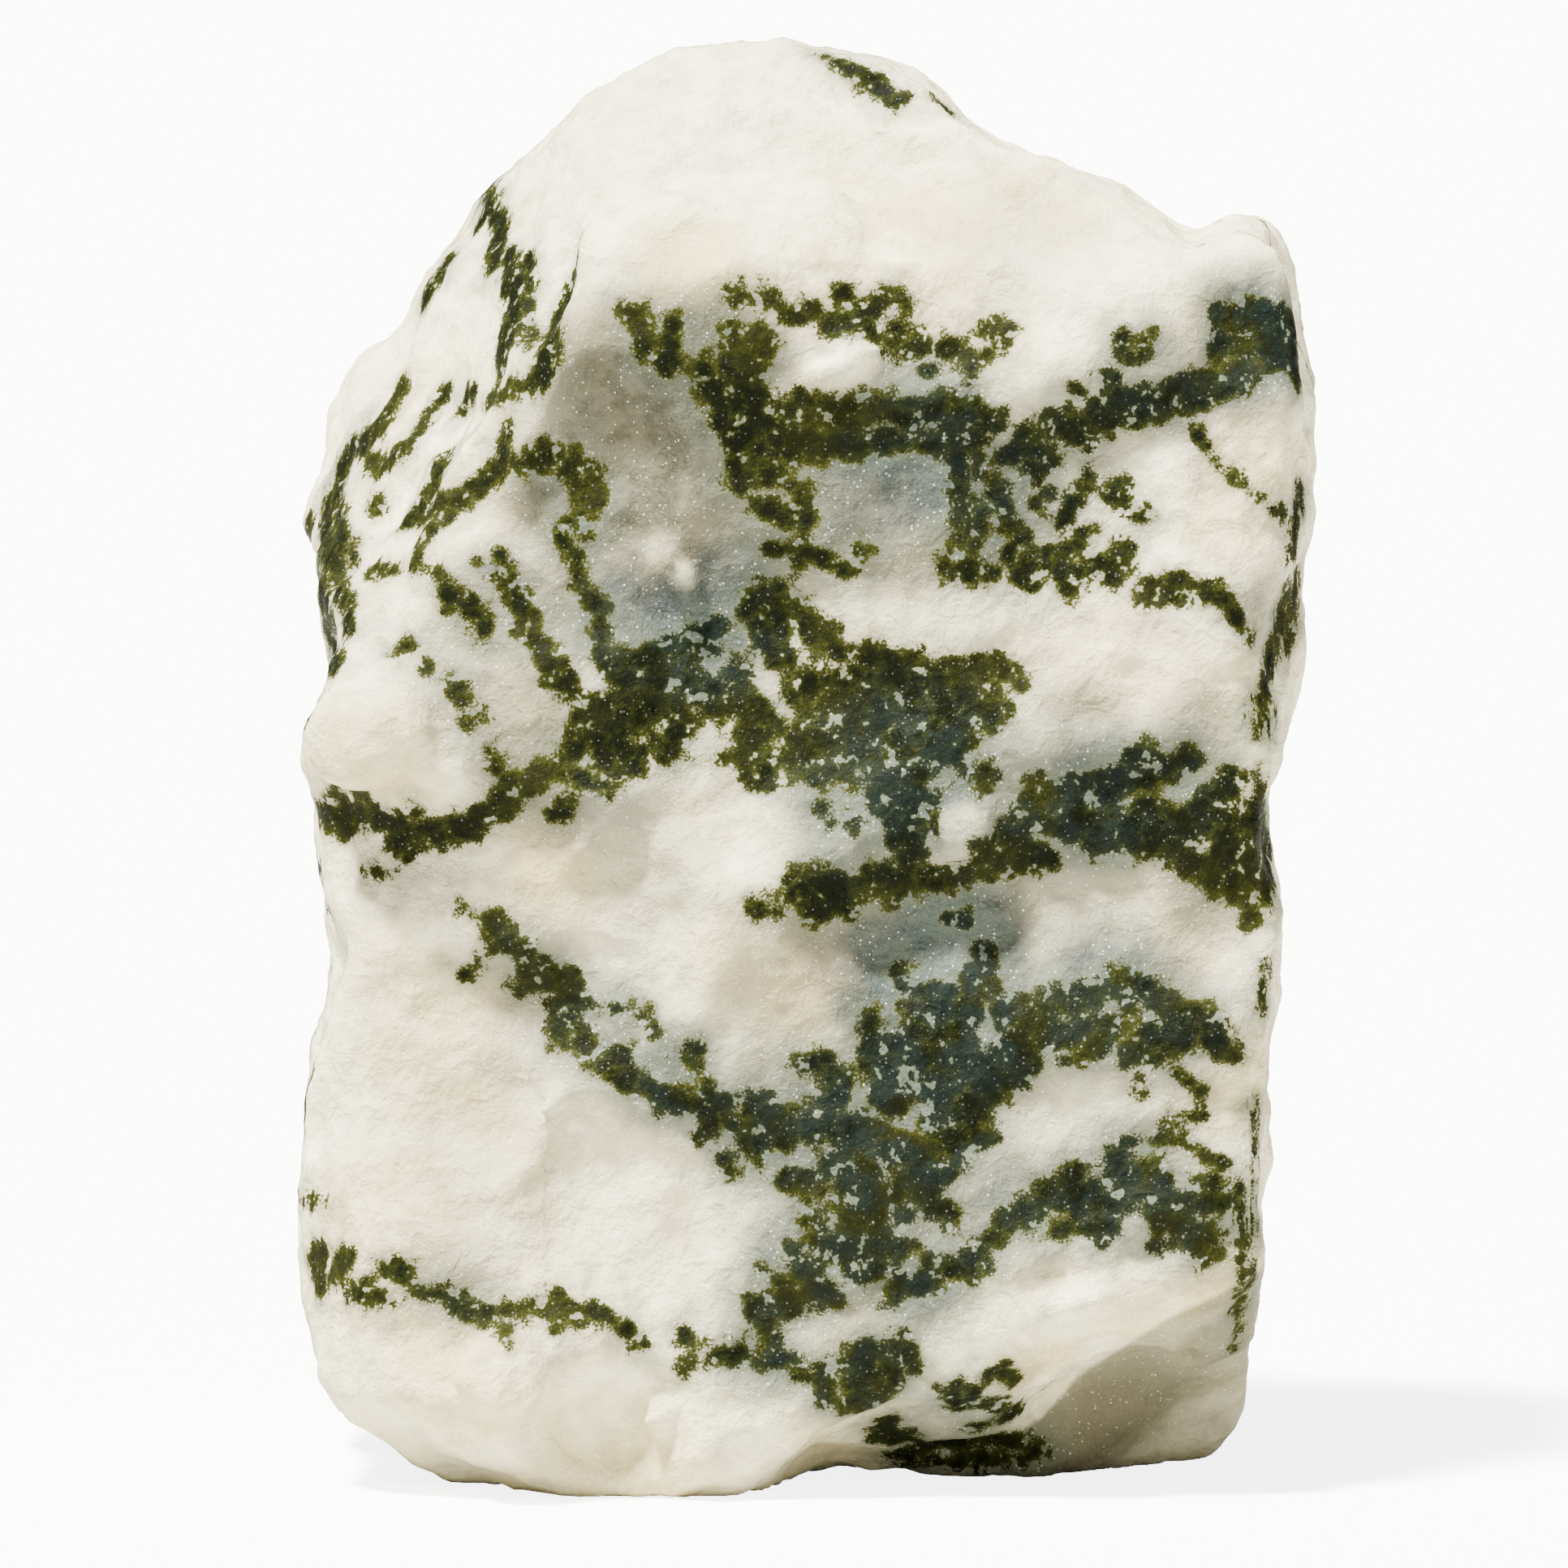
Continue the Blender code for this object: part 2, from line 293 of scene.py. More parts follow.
add_modifier(stone, "Fine mesh", "REMESH", mode="VOXEL", voxel_size=SKIN_GRAIN * MM)
add_modifier(stone, "Worn edges", "SMOOTH", factor=0.5, iterations=1)
for name, kind, size, push in RELIEF:
    add_modifier(
        stone,
        name,
        "DISPLACE",
        texture=relief_pattern(name, kind, size),
        texture_coords="LOCAL",
        strength=push * MM,
        mid_level=0.5,
    )
apply_all(stone)
print("fine skin:", len(stone.data.polygons), "faces")

# %% [markdown]
# The stone stands on a flat spot. The relief has roughened it, so all the corners that sank
# below the floor are pressed up to it. Scaling them to nothing in height does that, and the
# skin stays closed, which a cut wouldn't give.

# %% Flatten the foot
FOOT_HEIGHT = 0.02 * MM
heights = np.empty(len(stone.data.vertices) * 3)
stone.data.vertices.foreach_get("co", heights)
below = heights[2::3] < FOOT_HEIGHT
stone.data.polygons.foreach_set("select", np.zeros(len(stone.data.polygons), dtype=bool))
stone.data.edges.foreach_set("select", np.zeros(len(stone.data.edges), dtype=bool))
stone.data.vertices.foreach_set("select", below)
only_select(stone)
bpy.ops.object.mode_set(mode="EDIT")
bpy.context.tool_settings.mesh_select_mode = (True, False, False)
bpy.ops.transform.resize(value=(1.0, 1.0, 0.0), center_override=(0.0, 0.0, FOOT_HEIGHT))
bpy.ops.object.mode_set(mode="OBJECT")
bpy.ops.object.shade_smooth()
stone.data.vertices.foreach_get("co", heights)
stone.data.calc_loop_triangles()
print("pressed corners:", int(below.sum()), "lowest:", round(heights[2::3].min() / MM, 3), "mm")
print("triangles:", len(stone.data.loop_triangles))

# %% [markdown]
# ## Where the green grows
#
# Each growth is a short chain of spots: two picture points and a half-width, also in picture
# points. Chains are easier to read and to mend than a painted map, and they follow the skin,
# because every spot is thrown onto the stone. First the streaks on the left shoulder.

# %% Growths on the left shoulder
SHOULDER = [
    [(600, 245, 9), (592, 268, 8)],
    [(550, 320, 8), (532, 350, 8), (522, 370, 6)],
    [(600, 232, 6), (617, 275, 11), (610, 322, 10)],
    [(628, 315, 9), (635, 355, 13), (630, 395, 15), (620, 430, 12), (617, 455, 6)],
    [(653, 315, 5), (650, 375, 6), (655, 420, 5)],
    [(706, 338, 4), (695, 378, 7), (680, 405, 9), (677, 440, 16), (662, 470, 12)],
    [(602, 492, 7), (622, 480, 6), (638, 473, 8)],
    [(495, 475, 6), (480, 500, 10), (465, 525, 12), (432, 550, 8), (420, 580, 7)],
    [(420, 580, 7), (417, 620, 7), (420, 650, 7), (435, 685, 6)],
    [(550, 480, 5), (530, 505, 5), (505, 540, 7), (475, 565, 6)],
    [(580, 480, 4), (570, 500, 4)],
    [(450, 552, 5), (465, 575, 6)],
    [(545, 560, 5), (535, 590, 8), (525, 608, 6)],
    [(625, 525, 6), (615, 570, 9), (590, 600, 9), (555, 612, 11), (515, 630, 11), (500, 642, 7)],
    [(595, 603, 5), (550, 630, 5), (520, 665, 5), (512, 685, 4), (517, 695, 5)],
    [(465, 620, 9)],
    [(458, 700, 7), (485, 702, 6)],
    [(380, 645, 8), (390, 710, 10), (408, 765, 9), (415, 815, 8)],
    [(405, 615, 7), (400, 660, 10), (425, 730, 8), (432, 770, 6)],
]
print("shoulder chains:", len(SHOULDER))

# %% [markdown]
# Next, the crown and the upper hollow: a few islands under the brow, one tall growth, and a
# band that crosses to the right edge.

# %% Growths in the upper half
UPPER = [
    [(995, 62, 0), (1025, 72, 5), (1052, 88, 11), (1080, 102, 13), (1105, 120, 12)],
    [(1150, 118, 0), (1172, 134, 0)],
    [(772, 381, 11), (798, 398, 17), (795, 428, 14)],
    [(827, 393, 13), (822, 432, 16), (824, 452, 8)],
    [(910, 361, 13)],
    [(942, 364, 15)],
    [(980, 386, 10), (997, 379, 11)],
    [(902, 398, 9), (905, 440, 15), (905, 480, 36), (915, 520, 32), (923, 558, 22), (920, 586, 9)],
    [(933, 420, 21), (905, 480, 30)],
    [(865, 445, 13), (876, 480, 17)],
    [(950, 518, 21), (985, 503, 22), (1015, 505, 21), (1050, 505, 21), (1090, 499, 18)],
    [(1090, 499, 18), (1125, 505, 19), (1160, 500, 20), (1190, 503, 18), (1210, 515, 15),
     (1230, 516, 11)],
    [(1075, 540, 12)],
    [(972, 543, 16)],
    [(1125, 528, 12)],
    [(950, 366, 8), (978, 386, 9)],
    [(1025, 394, 15), (1055, 396, 16), (1070, 380, 13), (1095, 361, 14), (1120, 371, 7)],
    [(1038, 356, 9), (1050, 370, 8)],
    [(1076, 410, 8), (1105, 424, 9), (1135, 424, 11), (1170, 424, 12), (1198, 441, 11),
     (1195, 464, 5)],
    [(1102, 396, 9), (1120, 404, 8)],
    [(1142, 452, 8)],
    [(1215, 405, 10), (1232, 405, 16), (1221, 428, 8)],
    [(1262, 533, 8), (1300, 516, 13), (1330, 530, 18), (1365, 506, 24), (1400, 496, 25)],
    [(1400, 496, 25), (1430, 494, 21), (1460, 482, 23), (1495, 474, 22), (1525, 458, 19)],
    [(1525, 458, 19), (1552, 440, 20), (1572, 428, 24), (1590, 405, 20)],
    [(1500, 385, 13), (1550, 386, 18), (1578, 402, 20), (1550, 425, 20), (1495, 425, 11)],
    [(1595, 455, 11)],
    [(1327, 480, 8)],
    [(1365, 464, 11)],
    [(1383, 418, 10), (1388, 436, 8)],
    [(1414, 414, 11), (1412, 432, 8)],
    [(1475, 530, 6), (1490, 562, -1), (1522, 587, 3), (1545, 605, -1), (1580, 631, 1)],
    [(960, 543, 22), (1010, 545, 21), (1050, 543, 15), (1100, 535, 14), (1160, 543, 15),
     (1200, 534, 13)],
    [(915, 580, 22), (955, 572, 13)],
    [(1190, 572, 7), (1186, 640, 6), (1190, 690, 9)],
    [(960, 582, 9), (985, 600, 10), (1000, 625, 10), (990, 650, 8), (982, 692, 8)],
    [(712, 630, 8), (722, 655, 5)],
    [(705, 560, 12), (728, 590, 16), (732, 615, 12), (702, 640, 6)],
]
print("upper chains:", len(UPPER))

# %% [markdown]
# Below the band, small islands scatter to the right, and three thin branches run down on the
# left towards the large growth in the middle.

# %% Growths across the middle
MIDDLE = [
    [(1180, 560, 13), (1180, 600, 9), (1180, 635, 8)],
    [(1205, 570, 8)],
    [(1228, 598, 13), (1240, 632, 10), (1256, 660, 12)],
    [(1200, 628, 15), (1200, 660, 15)],
    [(1170, 675, 6), (1166, 700, 8), (1198, 695, 16), (1220, 705, 9)],
    [(1245, 680, 13), (1270, 708, 16), (1290, 682, 10)],
    [(1310, 676, 15), (1315, 718, 15)],
    [(1345, 690, 15), (1375, 702, 18), (1380, 676, 13)],
    [(1325, 660, 8), (1345, 648, 8)],
    [(1236, 560, 9), (1262, 543, 11), (1300, 563, 10), (1270, 580, 9)],
    [(1276, 616, 7)],
    [(1295, 604, 7)],
    [(1316, 610, 8), (1335, 602, 9), (1310, 641, 9)],
    [(1375, 600, 16), (1386, 615, 9)],
    [(1405, 632, 10)],
    [(1340, 580, 6)],
    [(1411, 724, 17), (1445, 720, 15), (1480, 729, 14), (1506, 731, 11), (1520, 753, 9),
     (1532, 775, 6)],
    [(990, 614, 8), (975, 640, 12), (942, 622, 13)],
    [(948, 672, 8), (990, 673, 13), (1015, 686, 10), (1040, 700, 8)],
    [(1062, 675, 11)],
    [(635, 572, 7), (675, 557, 15), (692, 567, 17), (715, 586, 15), (730, 605, 15), (722, 620, 9)],
    [(687, 650, 7), (705, 680, 9), (715, 705, 7), (725, 730, 11), (738, 746, 11)],
    [(737, 775, 11), (745, 800, 13), (782, 810, 14), (830, 800, 15), (866, 788, 13)],
    [(617, 685, 9), (626, 710, 11), (640, 738, 12), (650, 770, 15), (670, 797, 13), (682, 825, 15),
     (702, 852, 11)],
    [(590, 690, 5), (602, 700, 5)],
    [(542, 705, 8), (560, 735, 12), (588, 750, 11), (595, 780, 8)],
    [(507, 790, 9)],
    [(478, 801, 5), (488, 800, 5)],
    [(527, 820, 9)],
    [(556, 833, 9), (571, 855, 12)],
    [(577, 890, 9), (590, 880, 6)],
    [(825, 835, 10)],
    [(870, 833, 13), (860, 855, 13), (890, 865, 17)],
    [(910, 820, 11), (916, 850, 14), (935, 880, 25), (930, 915, 25), (935, 953, 21)],
    [(895, 925, 10)],
    [(735, 888, 33), (770, 872, 34), (802, 868, 23), (828, 872, 22)],
    [(757, 925, 28), (780, 930, 18), (746, 964, 12)],
    [(840, 892, 19), (826, 925, 14)],
    [(710, 920, 14), (685, 940, 13), (660, 955, 13), (635, 970, 18), (610, 994, 17),
     (576, 1014, 16), (540, 1024, 17)],
    [(604, 918, 7), (612, 938, 9), (625, 958, 10)],
    [(815, 915, 16)],
    [(718, 955, 12)],
    [(540, 1024, 17), (497, 1028, 20), (485, 1005, 14), (455, 1000, 17), (420, 1005, 19),
     (396, 1000, 8)],
    [(418, 975, 10)],
    [(447, 978, 11)],
    [(515, 994, 9)],
    [(500, 1052, 4)],
    [(690, 997, 12), (702, 988, 8)],
    [(455, 1065, 2), (476, 1075, 1)],
    [(745, 800, 15), (770, 830, 18), (810, 825, 22), (850, 797, 20), (885, 767, 14)],
    [(855, 835, 18), (885, 855, 13)],
    [(985, 740, 12), (1000, 780, 13), (1040, 800, 11)],
]
print("middle chains:", len(MIDDLE))

# %% [markdown]
# The large growth in the middle spreads right in lobes with white gaps between them, down to
# the band that crosses under it.

# %% Growths right of the middle
CENTRE = [
    [(940, 745, 28), (950, 785, 20), (970, 812, 14)],
    [(955, 722, 14), (968, 750, 16)],
    [(1010, 760, 7), (1025, 770, 7)],
    [(1025, 795, 12)],
    [(1075, 800, 13), (1095, 832, 32), (1082, 858, 34), (1050, 905, 24), (1025, 890, 22)],
    [(1125, 832, 30), (1150, 868, 28), (1125, 862, 26)],
    [(1165, 832, 22), (1190, 828, 22), (1210, 850, 26), (1226, 873, 20)],
    [(1222, 815, 16), (1258, 836, 10), (1252, 845, 8)],
    [(980, 858, 15), (995, 832, 12), (985, 895, 16), (1000, 935, 14), (980, 950, 10),
     (1018, 945, 13)],
    [(968, 890, 12), (975, 935, 9)],
    [(1030, 905, 20), (1065, 930, 18), (1100, 935, 22), (1115, 900, 18)],
    [(1165, 895, 16), (1165, 928, 11)],
    [(1215, 938, 10), (1210, 960, 13), (1190, 948, 9)],
    [(1080, 975, 15), (1100, 1000, 17), (1115, 1030, 18)],
    [(1135, 1015, 9), (1130, 965, 8)],
    [(1050, 1012, 9)],
    [(1012, 990, 8), (1022, 1008, 7)],
    [(1080, 1075, 17), (1105, 1090, 19), (1125, 1065, 13)],
    [(936, 1114, 11)],
    [(957, 1120, 10)],
    [(985, 1095, 18), (1010, 1100, 26), (1045, 1110, 17)],
    [(1000, 1125, 11)],
    [(1085, 1112, 3), (1115, 1102, 4), (1150, 1078, 11), (1175, 1070, 11), (1200, 1062, 11)],
    [(1210, 1040, 12), (1230, 1060, 13), (1260, 1042, 20), (1290, 1055, 12)],
    [(1250, 1015, 18), (1275, 995, 22), (1277, 962, 12)],
    [(1310, 980, 22), (1340, 967, 19), (1365, 975, 20), (1380, 950, 15)],
    [(1330, 1010, 10), (1345, 1035, 11), (1365, 1045, 8)],
    [(1410, 930, 20), (1430, 945, 17), (1400, 960, 13)],
    [(1465, 930, 15)],
    [(1410, 995, 20), (1412, 1030, 24), (1440, 1020, 24), (1475, 1005, 24), (1490, 970, 13)],
    [(1515, 955, 15), (1508, 1000, 17), (1515, 1035, 19), (1520, 1070, 24), (1535, 1108, 14),
     (1540, 1130, 9)],
    [(1460, 1050, 11), (1482, 1060, 10)],
    [(1168, 1130, 6), (1190, 1127, 5)],
    [(1040, 830, 14), (1060, 850, 22), (1000, 880, 14), (1020, 930, 12)],
    [(1110, 940, 24), (1150, 930, 18), (1190, 890, 20), (1150, 900, 24)],
    [(1100, 960, 18), (1125, 1000, 16), (1120, 1050, 18)],
    [(985, 1070, 10), (1040, 1090, 19)],
    [(1080, 1092, 11), (1130, 1084, 12), (1180, 1078, 10), (1230, 1066, 9), (1290, 1056, 8)],
    [(985, 948, 10), (1030, 952, 11), (1070, 958, 9)],
    [(1150, 978, 6), (1146, 1015, 6)],
    [(1000, 830, 10), (1015, 870, 12), (1038, 845, 10)],
    [(1300, 1010, 20), (1340, 1015, 20), (1380, 1010, 22), (1450, 1045, 18), (1500, 1080, 20),
     (1530, 1060, 22)],
    [(1545, 1000, 13), (1558, 1050, 11), (1562, 1100, 9)],
]
print("centre chains:", len(CENTRE))

# %% [markdown]
# The lower half has a thin slanting branch from the left, a large column, and two arms that
# reach the right edge. A last thin branch crosses the foot on the left.

# %% Growths in the lower half
LOWER = [
    [(572, 1115, 5), (590, 1125, 9), (607, 1131, 14), (615, 1150, 14), (635, 1160, 13),
     (650, 1182, 12)],
    [(645, 1210, 13), (665, 1200, 17), (695, 1200, 15), (702, 1225, 21), (695, 1250, 19),
     (690, 1275, 12)],
    [(715, 1275, 10), (740, 1300, 18), (765, 1296, 11), (755, 1315, 11), (785, 1330, 19)],
    [(810, 1350, 13), (840, 1350, 18), (865, 1350, 22), (885, 1360, 17), (870, 1390, 11)],
    [(575, 1195, 9)],
    [(592, 1180, 4)],
    [(735, 1236, 1), (770, 1240, 3), (800, 1246, 9), (812, 1270, 7)],
    [(835, 1295, 0), (860, 1292, 7), (855, 1315, 3)],
    [(935, 1362, 20), (945, 1382, 26), (970, 1386, 19), (915, 1380, 10)],
    [(930, 1420, 9)],
    [(890, 1418, 8), (900, 1440, 9)],
    [(990, 1308, 10), (1020, 1302, 11), (1040, 1322, 13), (1020, 1360, 18), (1005, 1372, 17)],
    [(1070, 1262, 12)],
    [(1110, 1190, 9), (1110, 1205, 5)],
    [(1205, 1192, 17), (1200, 1222, 17), (1190, 1250, 15), (1150, 1240, 18), (1125, 1242, 15)],
    [(1128, 1272, 20), (1118, 1305, 22), (1075, 1305, 18), (1100, 1345, 24)],
    [(1170, 1282, 12), (1185, 1320, 19), (1155, 1340, 20)],
    [(1210, 1310, 15), (1222, 1335, 19), (1200, 1360, 17)],
    [(1242, 1235, 13), (1262, 1240, 10), (1290, 1230, 13), (1320, 1225, 15), (1345, 1220, 12)],
    [(1375, 1207, 18), (1400, 1215, 19), (1430, 1227, 17), (1456, 1246, 17), (1485, 1257, 21)],
    [(1495, 1272, 17), (1505, 1290, 11), (1522, 1295, 9)],
    [(1290, 1260, 15), (1262, 1282, 24), (1256, 1312, 20), (1240, 1335, 12)],
    [(1325, 1260, 11), (1380, 1262, 15), (1350, 1285, 11), (1315, 1300, 7)],
    [(1415, 1265, 17), (1395, 1290, 17), (1440, 1272, 17), (1420, 1296, 11), (1465, 1272, 16)],
    [(1400, 1320, 2), (1405, 1350, -1)],
    [(1440, 1315, 2), (1475, 1340, 6), (1480, 1368, 5), (1445, 1378, 9), (1430, 1395, 8)],
    [(1385, 1400, 2), (1415, 1404, 4), (1462, 1398, 4), (1488, 1422, 6), (1510, 1430, 6)],
    [(1150, 1380, 16), (1178, 1397, 22), (1215, 1397, 11)],
    [(1190, 1380, 20), (1175, 1430, 12)],
    [(1130, 1405, 12), (1065, 1385, 16), (1045, 1412, 21), (1055, 1440, 25), (1052, 1475, 26)],
    [(960, 1380, 20), (940, 1362, 14)],
    [(1160, 1432, 15), (1130, 1458, 11), (1148, 1478, 15), (1170, 1490, 15)],
    [(1100, 1465, 14), (1072, 1496, 20), (1050, 1520, 22), (1085, 1522, 18), (1070, 1550, 20)],
    [(965, 1450, 12), (992, 1452, 16)],
    [(1110, 1535, 14), (1015, 1520, 11), (1032, 1540, 13), (1060, 1570, 11)],
    [(980, 1535, 9)],
    [(945, 1560, 6)],
    [(995, 1560, 16), (1010, 1580, 17), (1025, 1595, 15)],
    [(965, 1582, 13), (985, 1605, 11), (930, 1606, 12), (945, 1628, 13), (950, 1648, 8)],
    [(1375, 1425, 13), (1388, 1445, 18), (1415, 1432, 12), (1420, 1448, 14)],
    [(1320, 1445, 17), (1298, 1455, 14), (1312, 1472, 20), (1340, 1475, 22), (1330, 1500, 16),
     (1295, 1518, 7)],
    [(1385, 1472, 18), (1362, 1490, 18), (1360, 1512, 14)],
    [(1425, 1455, 16), (1432, 1480, 20), (1430, 1505, 13), (1425, 1525, 10)],
    [(1475, 1470, 19), (1495, 1460, 15), (1510, 1475, 10), (1455, 1482, 16)],
    [(1455, 1515, 16), (1480, 1517, 18), (1480, 1540, 13), (1498, 1537, 9)],
    [(1258, 1490, 15), (1272, 1500, 9), (1245, 1510, 8), (1220, 1525, 8), (1200, 1540, 13)],
    [(1195, 1560, 13), (1215, 1555, 9), (1165, 1562, 13), (1140, 1575, 14), (1112, 1580, 14),
     (1100, 1605, 8)],
    [(1145, 1548, 10)],
    [(1075, 1245, 8), (1080, 1290, 16), (1140, 1290, 20), (1180, 1262, 16), (1190, 1300, 15),
     (1160, 1300, 18)],
    [(1212, 1174, 15), (1215, 1215, 13)],
    [(1128, 1220, 9), (1170, 1214, 8)],
    [(1395, 1243, 10)],
    [(1112, 1325, 10)],
    [(1018, 1430, 10), (1015, 1458, 8)],
    [(1110, 1495, 10)],
    [(1300, 1500, 7)],
    [(1110, 1192, 12)],
    [(1240, 1240, 16), (1290, 1237, 12), (1345, 1227, 12)],
    [(1240, 1300, 18), (1290, 1270, 20), (1330, 1272, 12)],
    [(905, 1385, 11), (940, 1400, 16), (990, 1390, 16), (1040, 1387, 14)],
    [(1090, 1400, 16), (1130, 1420, 18), (1180, 1400, 16), (1150, 1455, 14), (1110, 1450, 14)],
    [(1000, 1497, 10), (1010, 1520, 14)],
    [(1240, 1500, 14), (1280, 1480, 14)],
]
FOOT = [
    [(364, 1475, -2), (400, 1476, -2)],
    [(397, 1538, 7), (386, 1552, 7), (397, 1578, 6)],
    [(410, 1565, 7), (420, 1550, 8), (432, 1547, 7)],
    [(442, 1587, 11), (467, 1601, 8), (480, 1595, 5)],
    [(475, 1557, 9), (495, 1565, 13), (507, 1580, 8), (527, 1587, 6), (550, 1592, 8),
     (570, 1605, 11), (585, 1615, 11)],
    [(585, 1615, 11), (610, 1617, 7), (645, 1610, 11), (660, 1600, 7)],
    [(625, 1630, 8), (625, 1647, 6)],
    [(685, 1605, 15), (692, 1625, 9), (712, 1617, 7), (730, 1610, 11), (750, 1622, 8),
     (770, 1635, 9), (785, 1650, 9)],
    [(842, 1640, 9), (855, 1652, 8), (855, 1670, 6), (842, 1683, 5)],
    [(880, 1667, 8), (905, 1665, 12), (930, 1667, 12), (950, 1668, 13), (970, 1672, 9),
     (985, 1685, 8)],
    [(910, 1660, 7)],
    [(1015, 1690, 11), (1017, 1715, 15)],
    [(1045, 1675, 13), (1072, 1662, 19), (1070, 1695, 26), (1098, 1690, 17), (1080, 1722, 17),
     (1050, 1725, 16)],
    [(1105, 1648, 9), (1125, 1675, 10)],
    [(1090, 1745, 15), (1085, 1765, 12), (1110, 1765, 14), (1127, 1770, 8)],
    [(1172, 1710, 12), (1185, 1730, 13), (1200, 1710, 9)],
    [(1215, 1690, 12), (1235, 1680, 9), (1245, 1700, 8)],
    [(1220, 1720, 9), (1245, 1740, 12), (1200, 1755, 8)],
    [(1105, 1788, 9), (1150, 1775, 11), (1200, 1768, 12), (1245, 1770, 11), (1285, 1782, 7)],
    [(1130, 1800, 7), (1200, 1793, 8), (1260, 1795, 6)],
]
print("lower chains:", len(LOWER) + len(FOOT))

# %% [markdown]
# The wall on the right edge turns away from the camera. It shows thin upright streaks.

# %% Growths on the right wall
WALL = [
    [(1602, 595, 0), (1598, 635, 3), (1591, 680, 1)],
    [(1597, 700, -2), (1592, 760, 0), (1585, 800, -1)],
    [(1587, 715, -2), (1580, 770, 1)],
    [(1572, 770, 0), (1563, 815, 2), (1556, 855, 4), (1548, 905, 2)],
    [(1548, 945, 2), (1554, 990, 3), (1562, 1050, 3), (1567, 1110, 1)],
    [(1557, 1180, 0), (1550, 1240, 0)],
    [(1528, 1440, -2), (1531, 1490, 0), (1530, 1560, 2), (1526, 1610, 3), (1522, 1660, 1)],
    [(1541, 1500, -3), (1540, 1580, 0)],
    [(1546, 1350, -2), (1546, 1450, -2)],
]
print("wall chains:", len(WALL))

# %% [markdown]
# ## Throw the growths onto the skin
#
# Every corner of the fine mesh gets a number, in millimetres: how deep inside a growth it
# lies, or with a minus sign how far outside. The finish turns that number into lobed edges. A
# painted map would need its own image, and a number on each corner doesn't.

# %% Measure the skin against the growths
SPOT_STEP = 5.0
SPREAD = 0.27
SINK = 4.0
FAR_OUTSIDE = -6.0


def corner_arrays(mesh):
    count = len(mesh.vertices)
    places, facings = np.empty(count * 3), np.empty(count * 3)
    mesh.vertices.foreach_get("co", places)
    mesh.vertices.foreach_get("normal", facings)
    return places.reshape(-1, 3), facings.reshape(-1, 3)


def spots_along(chain):
    """Picture points and half-widths along a chain, a few points apart."""
    if len(chain) == 1:
        return list(chain)
    spots = []
    for (x0, y0, w0), (x1, y1, w1) in zip(chain, chain[1:]):
        steps = max(1, round(math.hypot(x1 - x0, y1 - y0) / SPOT_STEP))
        for i in range(steps + 1):
            t = i / steps
            spots.append((x0 + (x1 - x0) * t, y0 + (y1 - y0) * t, w0 + (w1 - w0) * t))
    return spots


def depth_in(places, chains, skin):
    """How deep each place lies in the chains' growths, in mm."""
    centres, widths = [], []
    for chain in chains:
        for px, py, width in spots_along(chain):
            hit = place_under(skin, px, py + SINK)
            if hit:
                centres.append(hit[0] / MM)
                widths.append(width / POINTS_PER_MM + SPREAD)
    centres = np.array(centres, dtype=np.float32)
    widths = np.array(widths, dtype=np.float32)
    depth = np.full(len(places), FAR_OUTSIDE, dtype=np.float32)
    near_mm = (places / MM).astype(np.float32)
    for start in range(0, len(places), 2000):
        block = near_mm[start:start + 2000]
        gap = np.linalg.norm(block[:, None, :] - centres[None, :, :], axis=2)
        depth[start:start + 2000] = (widths[None, :] - gap).max(axis=1)
    return np.maximum(depth, FAR_OUTSIDE)


places, facings = corner_arrays(stone.data)
skin = skin_of(stone)
seen = facings @ np.array(away)
chains = SHOULDER + UPPER + MIDDLE + CENTRE + LOWER + FOOT + WALL
depth = depth_in(places, chains, skin)
print("corners in a growth:", int((depth > 0).sum()), "of", len(depth))

# %% [markdown]
# On the sides that the picture doesn't show, the growths are sheets in the stone, as in a real
# one. They are found where a smooth noise passes through zero, are wide in some places and thin
# in others, and are torn into patches by a second noise.

# %% Let the growths into the unseen sides
SHEET_SIZE = 15.0
SHEET_SLOPE = 5.5
SHEET_HALF_WIDTH = 0.75
SHEET_SWELL = 1.1
PATCH_SIZE = 6.0
PATCH_BITE = 2.6
PATCH_START = 0.35
SEEN_FROM = 0.34
SEEN_FADE = 0.22


def noise_at(places, size, seed):
    shift = Vector((seed * 17.3, seed * 5.1, seed * 9.7))
    return np.array([noise.noise(Vector(p) / (size * MM) + shift) for p in places])


unseen = np.clip((SEEN_FROM - seen) / SEEN_FADE, 0.0, 1.0)
side = np.where(unseen > 0.0)[0]
half_width = SHEET_HALF_WIDTH + SHEET_SWELL * noise_at(places[side], SHEET_SIZE, 5.0)
sheet = half_width - SHEET_SLOPE * np.abs(noise_at(places[side], SHEET_SIZE, 3.0))
torn = PATCH_BITE * np.abs(noise_at(places[side], PATCH_SIZE, 7.0)) - PATCH_START
side_depth = np.full(len(places), FAR_OUTSIDE)
side_depth[side] = sheet - torn
depth = np.maximum(depth, FAR_OUTSIDE + (side_depth - FAR_OUTSIDE) * unseen)
print("corners in a growth, all round:", int((depth > 0).sum()))
